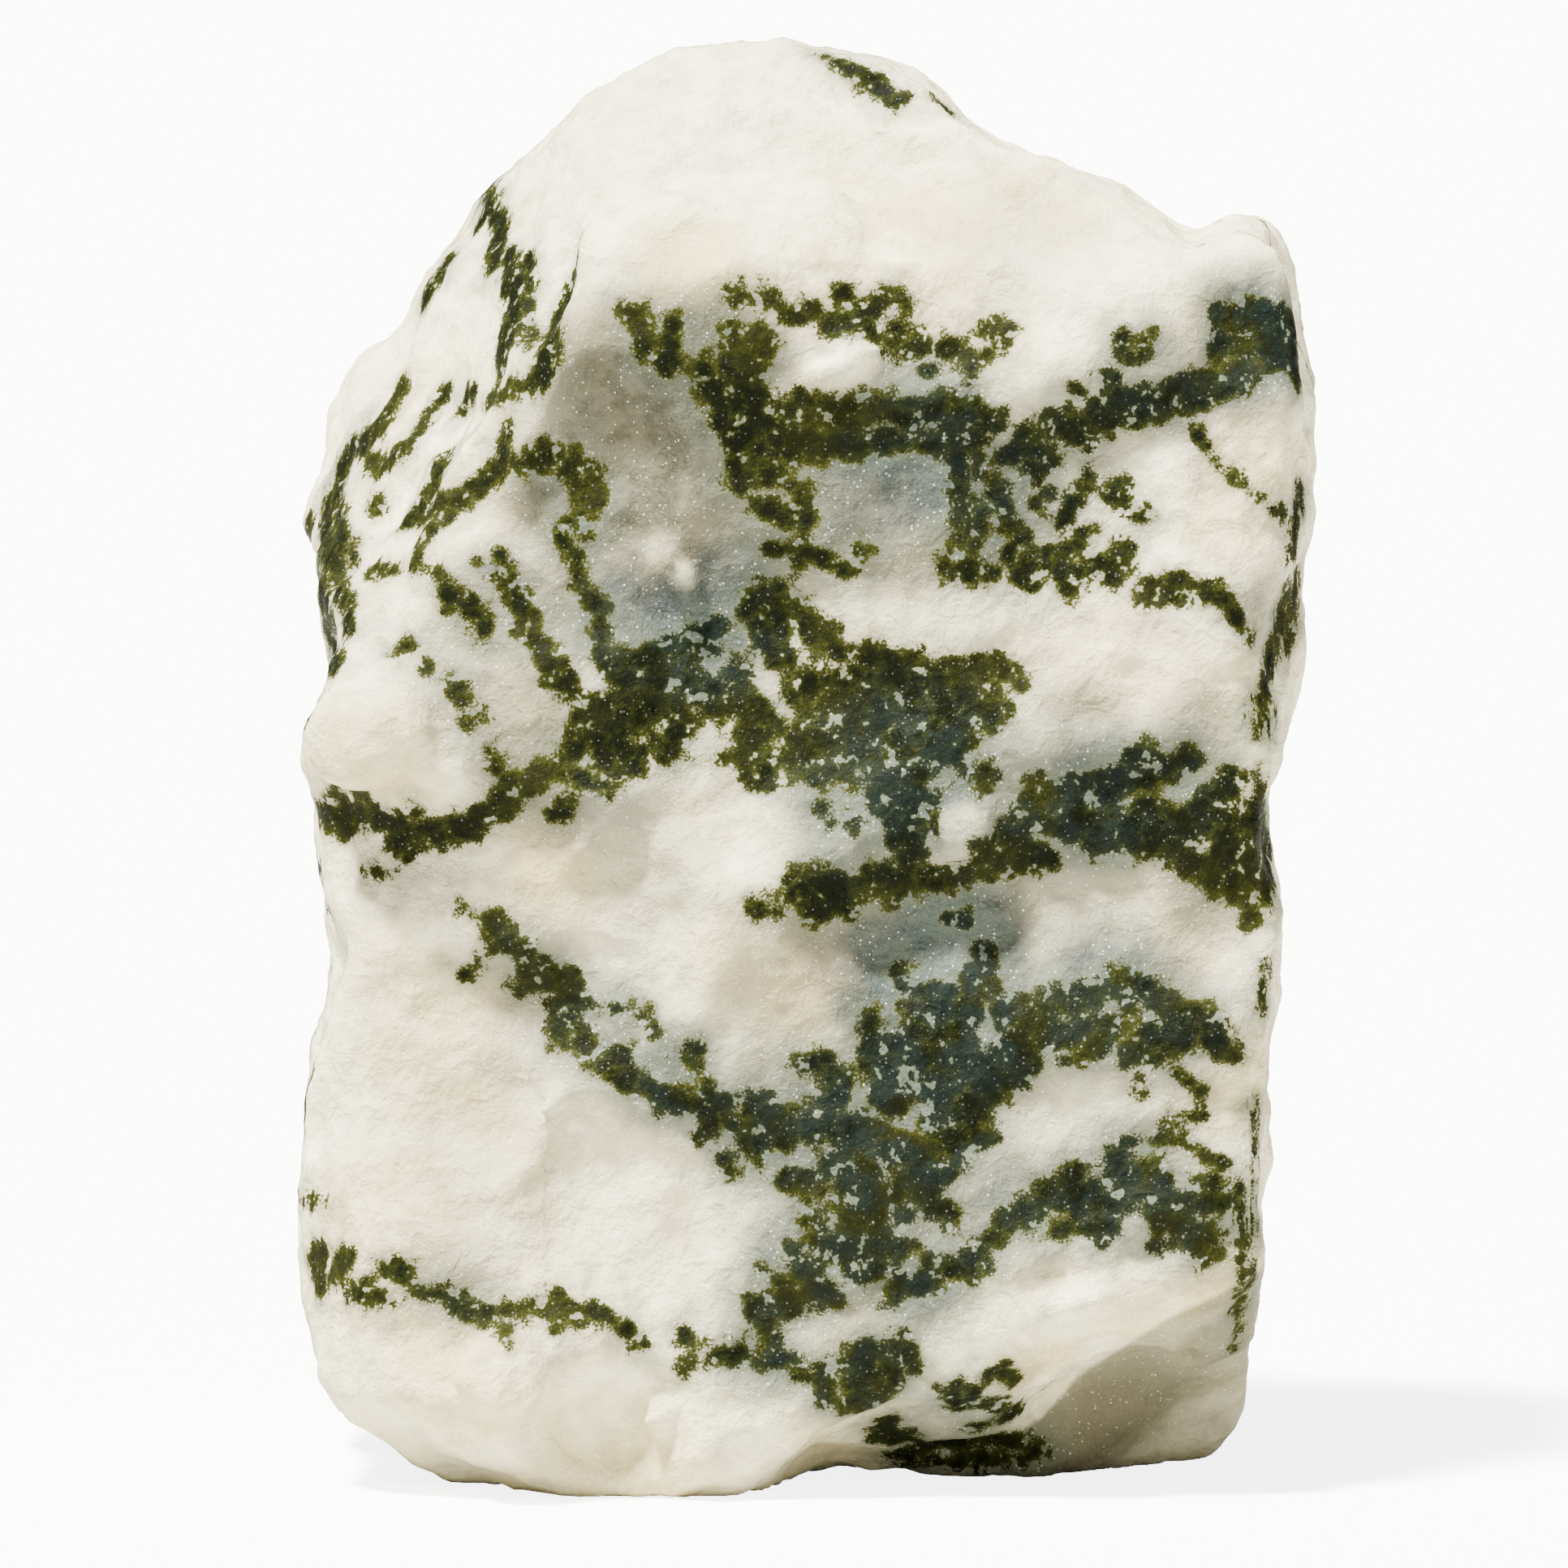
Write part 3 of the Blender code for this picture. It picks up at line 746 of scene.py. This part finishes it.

# %% [markdown]
# ## Milky, grey and warm quartz
#
# The quartz isn't one white. It is clearer and greyer in the upper hollow, where the grey is partly
# painted shade, bluish round the growths on the right, and creamy towards the lower left and over
# the broken corner. The corner's lower face, turned down and away from the light, gets painted
# shade in smoky brown, and a small grey spot under the flake is a painted shadow. Wide soft spots
# mark those places, each with a picture point, a radius and a strength.

# %% List the soft spots
# Grey spots: grey quartz, and painted shade in the upper hollow and under the small flake.
GREY_AND_SHADE_SPOTS = [
    (880, 1100, 480, 0.13), (610, 1420, 130, 0.22), (1250, 290, 110, 0.16),
    (1390, 1150, 100, 0.35), (1560, 760, 60, 0.45),
    (700, 600, 90, 0.8), (800, 500, 140, 0.9), (870, 430, 80, 0.9), (900, 640, 130, 0.8),
    (800, 700, 120, 0.85), (780, 600, 150, 0.85), (1100, 680, 70, 0.7), (822, 722, 20, 1.0),
    (670, 590, 50, 0.9), (930, 440, 50, 0.8), (965, 565, 60, 0.9), (1020, 575, 60, 0.9),
    (690, 770, 60, 0.7),
    (620, 900, 60, 0.5), (1110, 1150, 80, 0.9), (1230, 1130, 70, 0.7), (1010, 1120, 70, 0.6),
    (1340, 890, 60, 0.4), (1000, 620, 110, 0.8), (1100, 560, 100, 0.8), (1180, 640, 100, 0.8),
    (620, 760, 90, 0.6), (600, 850, 90, 0.5), (680, 950, 90, 0.7), (760, 1020, 60, 0.5),
    (1150, 700, 80, 0.5), (1350, 1110, 100, 0.4), (1250, 1110, 80, 0.5), (800, 1060, 110, 0.35),
    (1480, 1110, 60, 0.6),
    (1050, 1180, 80, 0.6), (950, 1230, 80, 0.4), (1420, 1180, 60, 0.5), (640, 1310, 70, 0.3),
    (1480, 900, 60, 0.5),
]
BLUE_SPOTS = [
    (1090, 590, 70, 0.7), (1160, 590, 60, 0.7), (770, 770, 60, 0.6), (900, 720, 50, 0.7),
    (1140, 960, 50, 0.8),
    (860, 790, 80, 0.9), (1150, 520, 80, 0.7), (1240, 600, 80, 0.6), (1120, 950, 110, 0.9),
    (1050, 1000, 90, 0.7), (1250, 980, 80, 0.7), (1350, 980, 90, 0.9), (1420, 970, 80, 0.7),
    (1175, 1165, 80, 1.0), (1290, 1370, 80, 0.4), (1120, 1240, 90, 0.9), (1080, 1180, 50, 0.7),
    (1200, 1260, 110, 1.0), (1120, 1380, 110, 1.0),
    (1060, 1480, 110, 0.9), (1000, 1560, 90, 0.8), (960, 1650, 80, 0.7), (1120, 1560, 90, 0.8),
    (1350, 1240, 100, 0.8), (1440, 1260, 80, 0.6), (950, 1380, 90, 0.8), (830, 1330, 70, 0.7),
    (740, 1270, 70, 0.6), (650, 1190, 60, 0.5), (1380, 1470, 100, 0.8), (1250, 1500, 80, 0.7),
    (1460, 1500, 70, 0.6), (1540, 420, 90, 0.9), (1430, 470, 80, 0.6), (1060, 1700, 80, 0.7),
    (1150, 1740, 90, 0.6), (560, 1590, 60, 0.4), (1330, 520, 80, 0.4), (1330, 900, 60, 0.4),
]
WARM_SPOTS = [
    (540, 1300, 100, 0.6), (480, 1500, 110, 0.5), (440, 950, 90, 0.6), (680, 1060, 60, 0.6),
    (1150, 280, 110, 0.4), (1250, 250, 80, 0.3), (850, 330, 80, 0.6), (1000, 340, 70, 0.4),
    (700, 430, 60, 0.5), (1530, 560, 70, 0.6), (1530, 850, 50, 0.5), (1000, 1190, 80, 0.5),
    (560, 1700, 90, 0.5), (800, 1830, 90, 0.5), (1400, 1620, 60, 0.7), (1280, 1680, 60, 0.7),
    (1500, 1600, 60, 0.8), (1520, 650, 60, 0.5), (1520, 1330, 60, 0.6), (1500, 1350, 50, 0.5),
    (900, 1170, 60, 0.4), (1450, 800, 70, 0.3),
]
# Painted shade on the broken corner, which faces down and away from the light.
CORNER_SHADE_SPOTS = [(1390, 1745, 95, 1.0), (1310, 1775, 60, 0.8), (1480, 1660, 60, 0.4)]
MILK_SPOTS = [
    (812, 675, 20, 0.6), (846, 706, 18, 0.55), (1186, 1022, 30, 1.0), (1052, 450, 34, 0.9),
    (620, 1690, 60, 0.6), (915, 1040, 70, 0.7), (850, 1150, 60, 0.5), (1380, 1545, 80, 0.8),
    (1160, 760, 60, 0.6), (1400, 780, 70, 0.4), (1330, 1380, 70, 0.4), (1040, 1570, 22, 0.7),
    (1010, 1650, 40, 0.5), (790, 1350, 30, 0.4), (1290, 470, 60, 0.5),
]
STREAKY_SPOTS = [
    (398, 690, 60, 1.0), (415, 790, 45, 0.9), (420, 590, 55, 0.8), (445, 530, 40, 0.7),
    (560, 330, 30, 0.5), (620, 330, 40, 0.6), (590, 260, 30, 0.6), (660, 420, 30, 0.5),
    (1600, 620, 30, 0.9), (1580, 760, 40, 1.0), (1560, 880, 40, 1.0), (1560, 1010, 40, 0.9),
    (1565, 1120, 30, 0.7), (1550, 1240, 30, 0.6), (1545, 1370, 30, 0.7), (1540, 1500, 40, 1.0),
    (1530, 1610, 35, 0.9), (1200, 1785, 60, 1.0), (1120, 1795, 50, 0.9), (1270, 1790, 30, 0.8),
]
print("grey and blue spots:", len(GREY_AND_SHADE_SPOTS), len(BLUE_SPOTS))
print("warm, milky and streaky spots:", len(WARM_SPOTS), len(MILK_SPOTS), len(STREAKY_SPOTS))

# %% [markdown]
# Each spot reaches a little past its radius and fades out softly. The painted shade on the broken
# corner is the one finish with a crisp border: it lies below a ridge, which is given as a line of
# picture points.

# %% Store the tints on the skin
CORNER_RIDGE = [
    (1180, 1795), (1240, 1775), (1285, 1745), (1330, 1692), (1400, 1648), (1450, 1618),
    (1515, 1588), (1560, 1560),
]
TINT_END = 1.45
TINT_FULL = 0.45
CLEAR_SHARE = 0.45
CLEAR_SIZE = 9.0


def smooth_share(values, none, full):
    """0 at none, 1 at full, soft between them."""
    share = np.clip((values - none) / (full - none), 0.0, 1.0)
    return share * share * (3.0 - 2.0 * share)


def soft_tint(places, spots, skin):
    tint = np.zeros(len(places))
    for px, py, radius, strength in spots:
        hit = place_under(skin, px, py)
        if hit:
            gap = np.linalg.norm(places - np.array(hit[0]), axis=1) / MM
            share = smooth_share(gap * POINTS_PER_MM / radius, TINT_END, TINT_FULL)
            tint = np.maximum(tint, strength * share)
    return tint


def store(mesh, name, values):
    layer = mesh.attributes.new(name, "FLOAT", "POINT")
    layer.data.foreach_set("value", values.astype(np.float32))


cleared = np.clip(2.2 * noise_at(places, CLEAR_SIZE, 11.0), 0.0, 1.0)
clear_patches = CLEAR_SHARE * unseen * cleared
store(stone.data, "growth", depth)
TINTS = {
    "grey": GREY_AND_SHADE_SPOTS,
    "blue": BLUE_SPOTS,
    "warm": WARM_SPOTS,
    "corner_shade": CORNER_SHADE_SPOTS,
    "milk": MILK_SPOTS,
    "streaky": STREAKY_SPOTS,
}
px, py = picture_points(places)
ridge_x, ridge_y = zip(*CORNER_RIDGE)
below_ridge = (py - np.interp(px, ridge_x, ridge_y)) / POINTS_PER_MM
corner = smooth_share(below_ridge, -0.12, 0.22) * smooth_share(px, 1180.0, 1260.0)
corner *= smooth_share(places[:, 1] / MM, -2.0, -8.0)
for name, spots in TINTS.items():
    tint = soft_tint(places, spots, skin)
    if name == "grey":
        tint = np.maximum(tint, clear_patches)
    # The corner's painted shade is kept to the face below the ridge, and to the front.
    if name == "corner_shade":
        tint = corner * (0.50 + 0.32 * tint)
    store(stone.data, name, tint)
store(stone.data, "streak", np.clip((np.abs(facings[:, 0]) - 0.5) / 0.25, 0.0, 1.0))
stored = [layer.name for layer in stone.data.attributes if layer.data_type == "FLOAT"]
print("numbers stored on the skin:", stored)

# %% [markdown]
# ## The finish of the stone
#
# One material holds it all. Short helpers make the nodes, so that each cell reads as a
# sentence about the stone.

# %% Helpers for materials
def new_material(name):
    material = bpy.data.materials.new(name)
    material.use_nodes = True
    nodes = material.node_tree.nodes
    return material, nodes["Principled BSDF"]


class Desk:
    """Makes and links the nodes of one tree."""

    def __init__(self, tree):
        self.tree = tree

    def put(self, socket, value):
        if isinstance(value, bpy.types.NodeSocket):
            self.tree.links.new(value, socket)
        else:
            socket.default_value = value

    def node(self, kind, inputs=None, **settings):
        made = self.tree.nodes.new(kind)
        for key, value in settings.items():
            setattr(made, key, value)
        for key, value in (inputs or {}).items():
            self.put(made.inputs[key], value)
        return made

    def math(self, operation, a, b=0.0, clamp=False):
        made = self.node("ShaderNodeMath", operation=operation, use_clamp=clamp)
        self.put(made.inputs[0], a)
        self.put(made.inputs[1], b)
        return made.outputs[0]

    def add(self, a, b):
        return self.math("ADD", a, b)

    def times(self, a, b):
        return self.math("MULTIPLY", a, b)

    def deep(self, share):
        """Pulls middling shares up, so that half a share also looks half as dark."""
        left = self.math("SUBTRACT", 1.0, share, clamp=True)
        return self.math("SUBTRACT", 1.0, self.times(left, left))

    def ramp(self, value, low, high):
        """0 below low, 1 above high, soft between them."""
        made = self.node("ShaderNodeMapRange", interpolation_type="SMOOTHSTEP")
        self.put(made.inputs["Value"], value)
        made.inputs["From Min"].default_value = low
        made.inputs["From Max"].default_value = high
        return made.outputs["Result"]

    def mix(self, share, a, b):
        made = self.node("ShaderNodeMix", data_type="RGBA", clamp_factor=True)
        self.put(made.inputs["Factor"], share)
        self.put(made.inputs["A"], a)
        self.put(made.inputs["B"], b)
        return made.outputs["Result"]

    def noise(self, where, size, detail=2.0, roughness=0.55):
        made = self.node(
            "ShaderNodeTexNoise",
            {"Vector": where, "Scale": 1.0 / (size * MM), "Detail": detail, "Roughness": roughness},
        )
        return made.outputs["Fac"]

    def cells(self, where, size):
        return self.node(
            "ShaderNodeTexVoronoi", {"Vector": where, "Scale": 1.0 / (size * MM)}, feature="F1"
        )

    def layer(self, name):
        return self.node("ShaderNodeAttribute", attribute_name=name).outputs["Fac"]


def colour(red, green, blue):
    """A colour given as on a screen, from 0 to 255, as the shader wants it."""
    def linear(value):
        value /= 255.0
        return value / 12.92 if value <= 0.04045 else ((value + 0.055) / 1.055) ** 2.4

    return (linear(red), linear(green), linear(blue), 1.0)


agate, shader = new_material("agate")
desk = Desk(agate.node_tree)
here = desk.node("ShaderNodeTexCoord").outputs["Object"]
print("material made:", agate.name)

# %% [markdown]
# The growths have lobes about a millimetre wide, like florets, with a velvety edge of single
# grains. Cells and a fine noise are added to the measured depth before it is cut into a mask,
# and a second noise leaves small clear gaps inside the large growths. Cut as it is, the mask
# would show the mesh's triangles, and the cells hide them. On the steep sides the lobes are
# drawn out into upright streaks.

# %% Lobed edges of the growths
LOBE = 0.85
UPRIGHT = (1.0, 1.0, 0.16)
drawn_out = desk.node("ShaderNodeMapping", {"Vector": here, "Scale": UPRIGHT}).outputs["Vector"]
cells = desk.cells(here, LOBE).outputs["Distance"]
lobes = desk.times(desk.add(0.46, desk.times(cells, -1.0)), 0.75)
streaks = desk.times(desk.add(desk.noise(drawn_out, 0.55, 2.0), -0.38), 1.5)
steep = desk.layer("streak")
edge_shape = desk.node(
    "ShaderNodeMix", {"Factor": steep, "A": lobes, "B": streaks}
).outputs["Result"]
grains = desk.times(desk.add(desk.noise(here, 0.13, 1.0, 0.6), -0.5), 0.80)
patchy = desk.noise(here, 0.75, 2.0, 0.6)
gaps = desk.times(desk.ramp(patchy, 0.57, 0.69), -0.85)
growth = desk.layer("growth")
even = desk.math("MINIMUM", growth, 0.60)
shaped = desk.add(desk.add(even, edge_shape), gaps)
streak_lines = desk.noise(drawn_out, 0.30, 3.0, 0.7)
streak_zone = desk.times(desk.add(desk.layer("streaky"), -1.0), 1.6)
streak_field = desk.add(desk.times(desk.add(streak_lines, -0.5), 3.2), streak_zone)
shaped = desk.math("MAXIMUM", shaped, desk.add(streak_field, 0.02))
inside = desk.add(shaped, grains)
moss = desk.ramp(inside, -0.09, 0.12)
print("growth mask ready")

# %% [markdown]
# The colour of the growths runs from olive at the thin rims to nearly black green in the
# thick hearts, with lighter grains scattered through. One flat green would look painted on, so
# the depth inside the growth chooses the tone.

# %% Colour of the growths
OLIVE = colour(56, 56, 20)
MOSS_GREEN = colour(35, 39, 10)
HEART_GREEN = colour(13, 16, 5)
PALE_GRAIN = colour(130, 132, 80)
BLUE_GREEN = colour(20, 29, 28)
thick = desk.ramp(desk.add(inside, desk.times(desk.add(patchy, -0.5), -1.6)), 0.10, 0.75)
green = desk.mix(desk.ramp(inside, 0.02, 0.32), OLIVE, MOSS_GREEN)
green = desk.mix(thick, green, HEART_GREEN)
wide = desk.noise(here, 5.0, 2.0)
green = desk.mix(desk.times(desk.ramp(wide, 0.46, 0.62), 0.16), green, OLIVE)
middling = desk.noise(here, 1.5, 3.0, 0.62)
blue_share = desk.times(desk.layer("blue"), desk.ramp(middling, 0.38, 0.56))
green = desk.mix(desk.times(blue_share, 0.75), green, BLUE_GREEN)
light_grain = desk.ramp(grains, 0.10, 0.24)
green = desk.mix(desk.times(light_grain, 0.11), green, PALE_GRAIN)
print("growth colours ready")

# %% [markdown]
# The quartz starts as warm white. Grey, blue and cream are mixed in where the soft spots lie; the
# grey is partly grey quartz and, in the upper hollow and under the small flake, painted shade. Near
# a growth the quartz is clearer, and the green shows through it as a haze. Light that really enters
# the stone could show this too, but it blurs the fine grain and takes long.

# %% Colour of the quartz
WHITE = colour(244, 235, 199)
# Grey for grey quartz, also used as painted shade in the upper hollow and under the flake.
GREY_TONE_AND_SHADE = colour(46, 45, 36)
CLEAR_BLUE = colour(48, 57, 59)
CREAM = colour(208, 187, 134)
# Smoky brown for the painted shade on the broken corner.
CORNER_SHADE_COLOUR = colour(99, 94, 74)
HAZE = colour(72, 83, 77)
STREAK_HAZE = colour(96, 104, 88)
HALO = colour(84, 88, 58)
TINT_MIXES = [
    # number on the skin, share, more or less of it where cloudy, colour
    ("warm", 0.45, 0.40, CREAM),
    # The grey mix is partly painted shade.
    ("grey", 0.90, -0.20, GREY_TONE_AND_SHADE),
    ("blue", 0.95, -0.45, CLEAR_BLUE),
]
print("quartz tones:", [name for name, _, _, _ in TINT_MIXES])

# %% [markdown]
# The tones are mixed one over the other, each by its own number on the skin. Clouds of noise
# break them up, so that no spot shows as a round stain.

# %% Mix the quartz
cloudy = desk.ramp(desk.add(desk.times(wide, 0.4), desk.times(middling, 0.6)), 0.40, 0.60)
sugar = desk.ramp(desk.noise(here, 0.12, 2.0, 0.7), 0.36, 0.64)
quartz = desk.mix(desk.times(desk.ramp(middling, 0.42, 0.64), 0.20), WHITE, GREY_TONE_AND_SHADE)
quartz = desk.mix(desk.times(sugar, 0.10), quartz, GREY_TONE_AND_SHADE)
quartz = desk.mix(desk.times(desk.ramp(wide, 0.44, 0.68), 0.42), quartz, CREAM)
for name, share, clouds, tone in TINT_MIXES:
    strength = desk.times(desk.layer(name), desk.add(share, desk.times(cloudy, clouds)))
    quartz = desk.mix(desk.deep(strength), quartz, tone)
milky = desk.times(desk.layer("milk"), desk.add(0.65, desk.times(cloudy, -0.3)))
quartz = desk.mix(milky, quartz, WHITE)
# Painted shade on the broken corner.
quartz = desk.mix(desk.deep(desk.layer("corner_shade")), quartz, CORNER_SHADE_COLOUR)
murk = desk.ramp(desk.add(growth, desk.times(desk.add(middling, -0.5), 3.0)), -1.9, 0.3)
murky = desk.times(murk, desk.add(0.26, desk.times(desk.layer("blue"), 0.22)))
quartz = desk.mix(desk.deep(murky), quartz, HAZE)
quartz = desk.mix(desk.deep(desk.times(desk.layer("streaky"), 0.48)), quartz, STREAK_HAZE)
quartz = desk.mix(desk.times(desk.ramp(growth, -0.10, 0.35), 0.62), quartz, HAZE)
halo = desk.ramp(desk.add(shaped, desk.times(grains, 0.5)), -0.50, 0.02)
quartz = desk.mix(desk.times(halo, 0.34), quartz, HALO)
quartz = desk.mix(desk.times(sugar, 0.035), quartz, WHITE)
base = desk.mix(moss, quartz, green)
print("quartz colours ready")

# %% [markdown]
# Broken quartz glitters: tiny crystal faces catch the light here and there. Modelled one by one
# they would be too many, so single small cells get a painted highlight, near white in their colour,
# and are glossier than the rest.

# %% Glitter
GLITTER = 0.15
GLINT_WHITE = colour(255, 253, 248)
glint_cells = desk.cells(here, GLITTER)
pick = desk.node("ShaderNodeSeparateColor", {"Color": glint_cells.outputs["Color"]}).outputs["Red"]
picked = desk.ramp(pick, 0.86, 0.99)
glint = desk.times(picked, desk.ramp(glint_cells.outputs["Distance"], 0.46, 0.20))
# Painted highlights: the picked cells turn near white, weaker on the growths.
base = desk.mix(desk.times(glint, desk.add(0.50, desk.times(moss, -0.42))), base, GLINT_WHITE)
desk.put(shader.inputs["Base Color"], base)
print("glitter cells:", GLITTER, "mm")

# %% [markdown]
# Rough quartz has a dull, waxy gloss. Its finest relief is too fine for the mesh, so it is bump
# in the finish: small bowls and chips with crisp borders, and single grains.

# %% Gloss and grain
BOWL = 1.7
CHIP = 0.5
BUMP_DEPTH = 0.17
rough = desk.add(desk.add(0.42, desk.times(moss, 0.2)), desk.times(desk.add(middling, -0.5), 0.3))
rough = desk.math("SUBTRACT", rough, desk.times(glint, 0.3), clamp=True)
desk.put(shader.inputs["Roughness"], rough)
shader.inputs["IOR"].default_value = 1.50
shader.inputs["Specular IOR Level"].default_value = 0.035
bend = desk.times(desk.noise(here, 1.2, 1.0), 1.6 * MM)
bent = desk.node("ShaderNodeVectorMath", {0: here, 1: bend}, operation="ADD").outputs["Vector"]
bowls = desk.cells(bent, BOWL).outputs["Distance"]
chips = desk.cells(bent, CHIP).outputs["Distance"]
coarse = desk.noise(here, 1.1, 3.0, 0.60)
height = desk.add(desk.times(glint_cells.outputs["Distance"], -0.22), coarse)
height = desk.add(height, desk.times(desk.times(bowls, bowls), 1.2))
height = desk.add(height, desk.times(chips, 0.42))
bump = desk.node(
    "ShaderNodeBump", {"Strength": 0.8, "Distance": BUMP_DEPTH * MM, "Height": height}
)
desk.put(shader.inputs["Normal"], bump.outputs["Normal"])
stone.data.materials.append(agate)
print("finish given to", stone.name)

# %% [markdown]
# ## The photo table
#
# The picture has a bare white ground. A wide pale floor gives that. It looks whiter than it
# shines back onto the stone, so the undersides keep their shade.

# %% The floor
FLOOR_BOUNCE = (0.66, 0.66, 0.62, 1.0)
FLOOR_SEEN = (0.95, 0.95, 0.95, 1.0)
FLOOR_GLOW = 5.0
bpy.ops.object.select_all(action="DESELECT")
bpy.ops.mesh.primitive_plane_add(size=6.0, location=(0.0, 0.0, 0.0))
floor = bpy.context.object
floor.name = "pale_floor"
paper, paper_shader = new_material("white_paper")
paper_desk = Desk(paper.node_tree)
straight = paper_desk.node("ShaderNodeLightPath").outputs["Is Camera Ray"]
paper_desk.put(
    paper_shader.inputs["Base Color"],
    paper_desk.mix(straight, FLOOR_BOUNCE, FLOOR_SEEN),
)
paper_shader.inputs["Roughness"].default_value = 1.0
paper_shader.inputs["Specular IOR Level"].default_value = 0.0
paper_shader.inputs["Emission Color"].default_value = (1.0, 1.0, 1.0, 1.0)
paper_desk.put(paper_shader.inputs["Emission Strength"], paper_desk.times(straight, FLOOR_GLOW))
floor.data.materials.append(paper)
print("floor:", floor.name)

# %% [markdown]
# One high soft light from the upper left brings out the broken relief, as in the picture, and
# an even surround fills the shade.

# %% Surround and light
surround = bpy.data.worlds.new("white_surround")
surround.use_nodes = True
bpy.context.scene.world = surround
sky_light = surround.node_tree.nodes["Background"]
sky_light.inputs["Color"].default_value = (0.97, 0.985, 1.0, 1.0)
sky_light.inputs["Strength"].default_value = 0.41

KEY_HEIGHT = math.radians(68.0)
KEY_SIDE = math.radians(-48.0)
towards_key = Vector((
    math.sin(KEY_SIDE) * math.cos(KEY_HEIGHT),
    -math.cos(KEY_SIDE) * math.cos(KEY_HEIGHT),
    math.sin(KEY_HEIGHT),
))
bpy.ops.object.light_add(type="SUN", location=towards_key * 0.5)
key = bpy.context.object
key.name = "key"
key.data.energy = 23.0
key.data.angle = math.radians(9.0)
key.data.color = (1.0, 0.985, 0.92)
key.rotation_mode = "QUATERNION"
key.rotation_quaternion = (-towards_key).to_track_quat("-Z", "Y")
print("light:", key.name)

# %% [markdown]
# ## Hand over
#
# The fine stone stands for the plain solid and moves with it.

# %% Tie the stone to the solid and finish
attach(stone, "root")
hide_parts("stone")
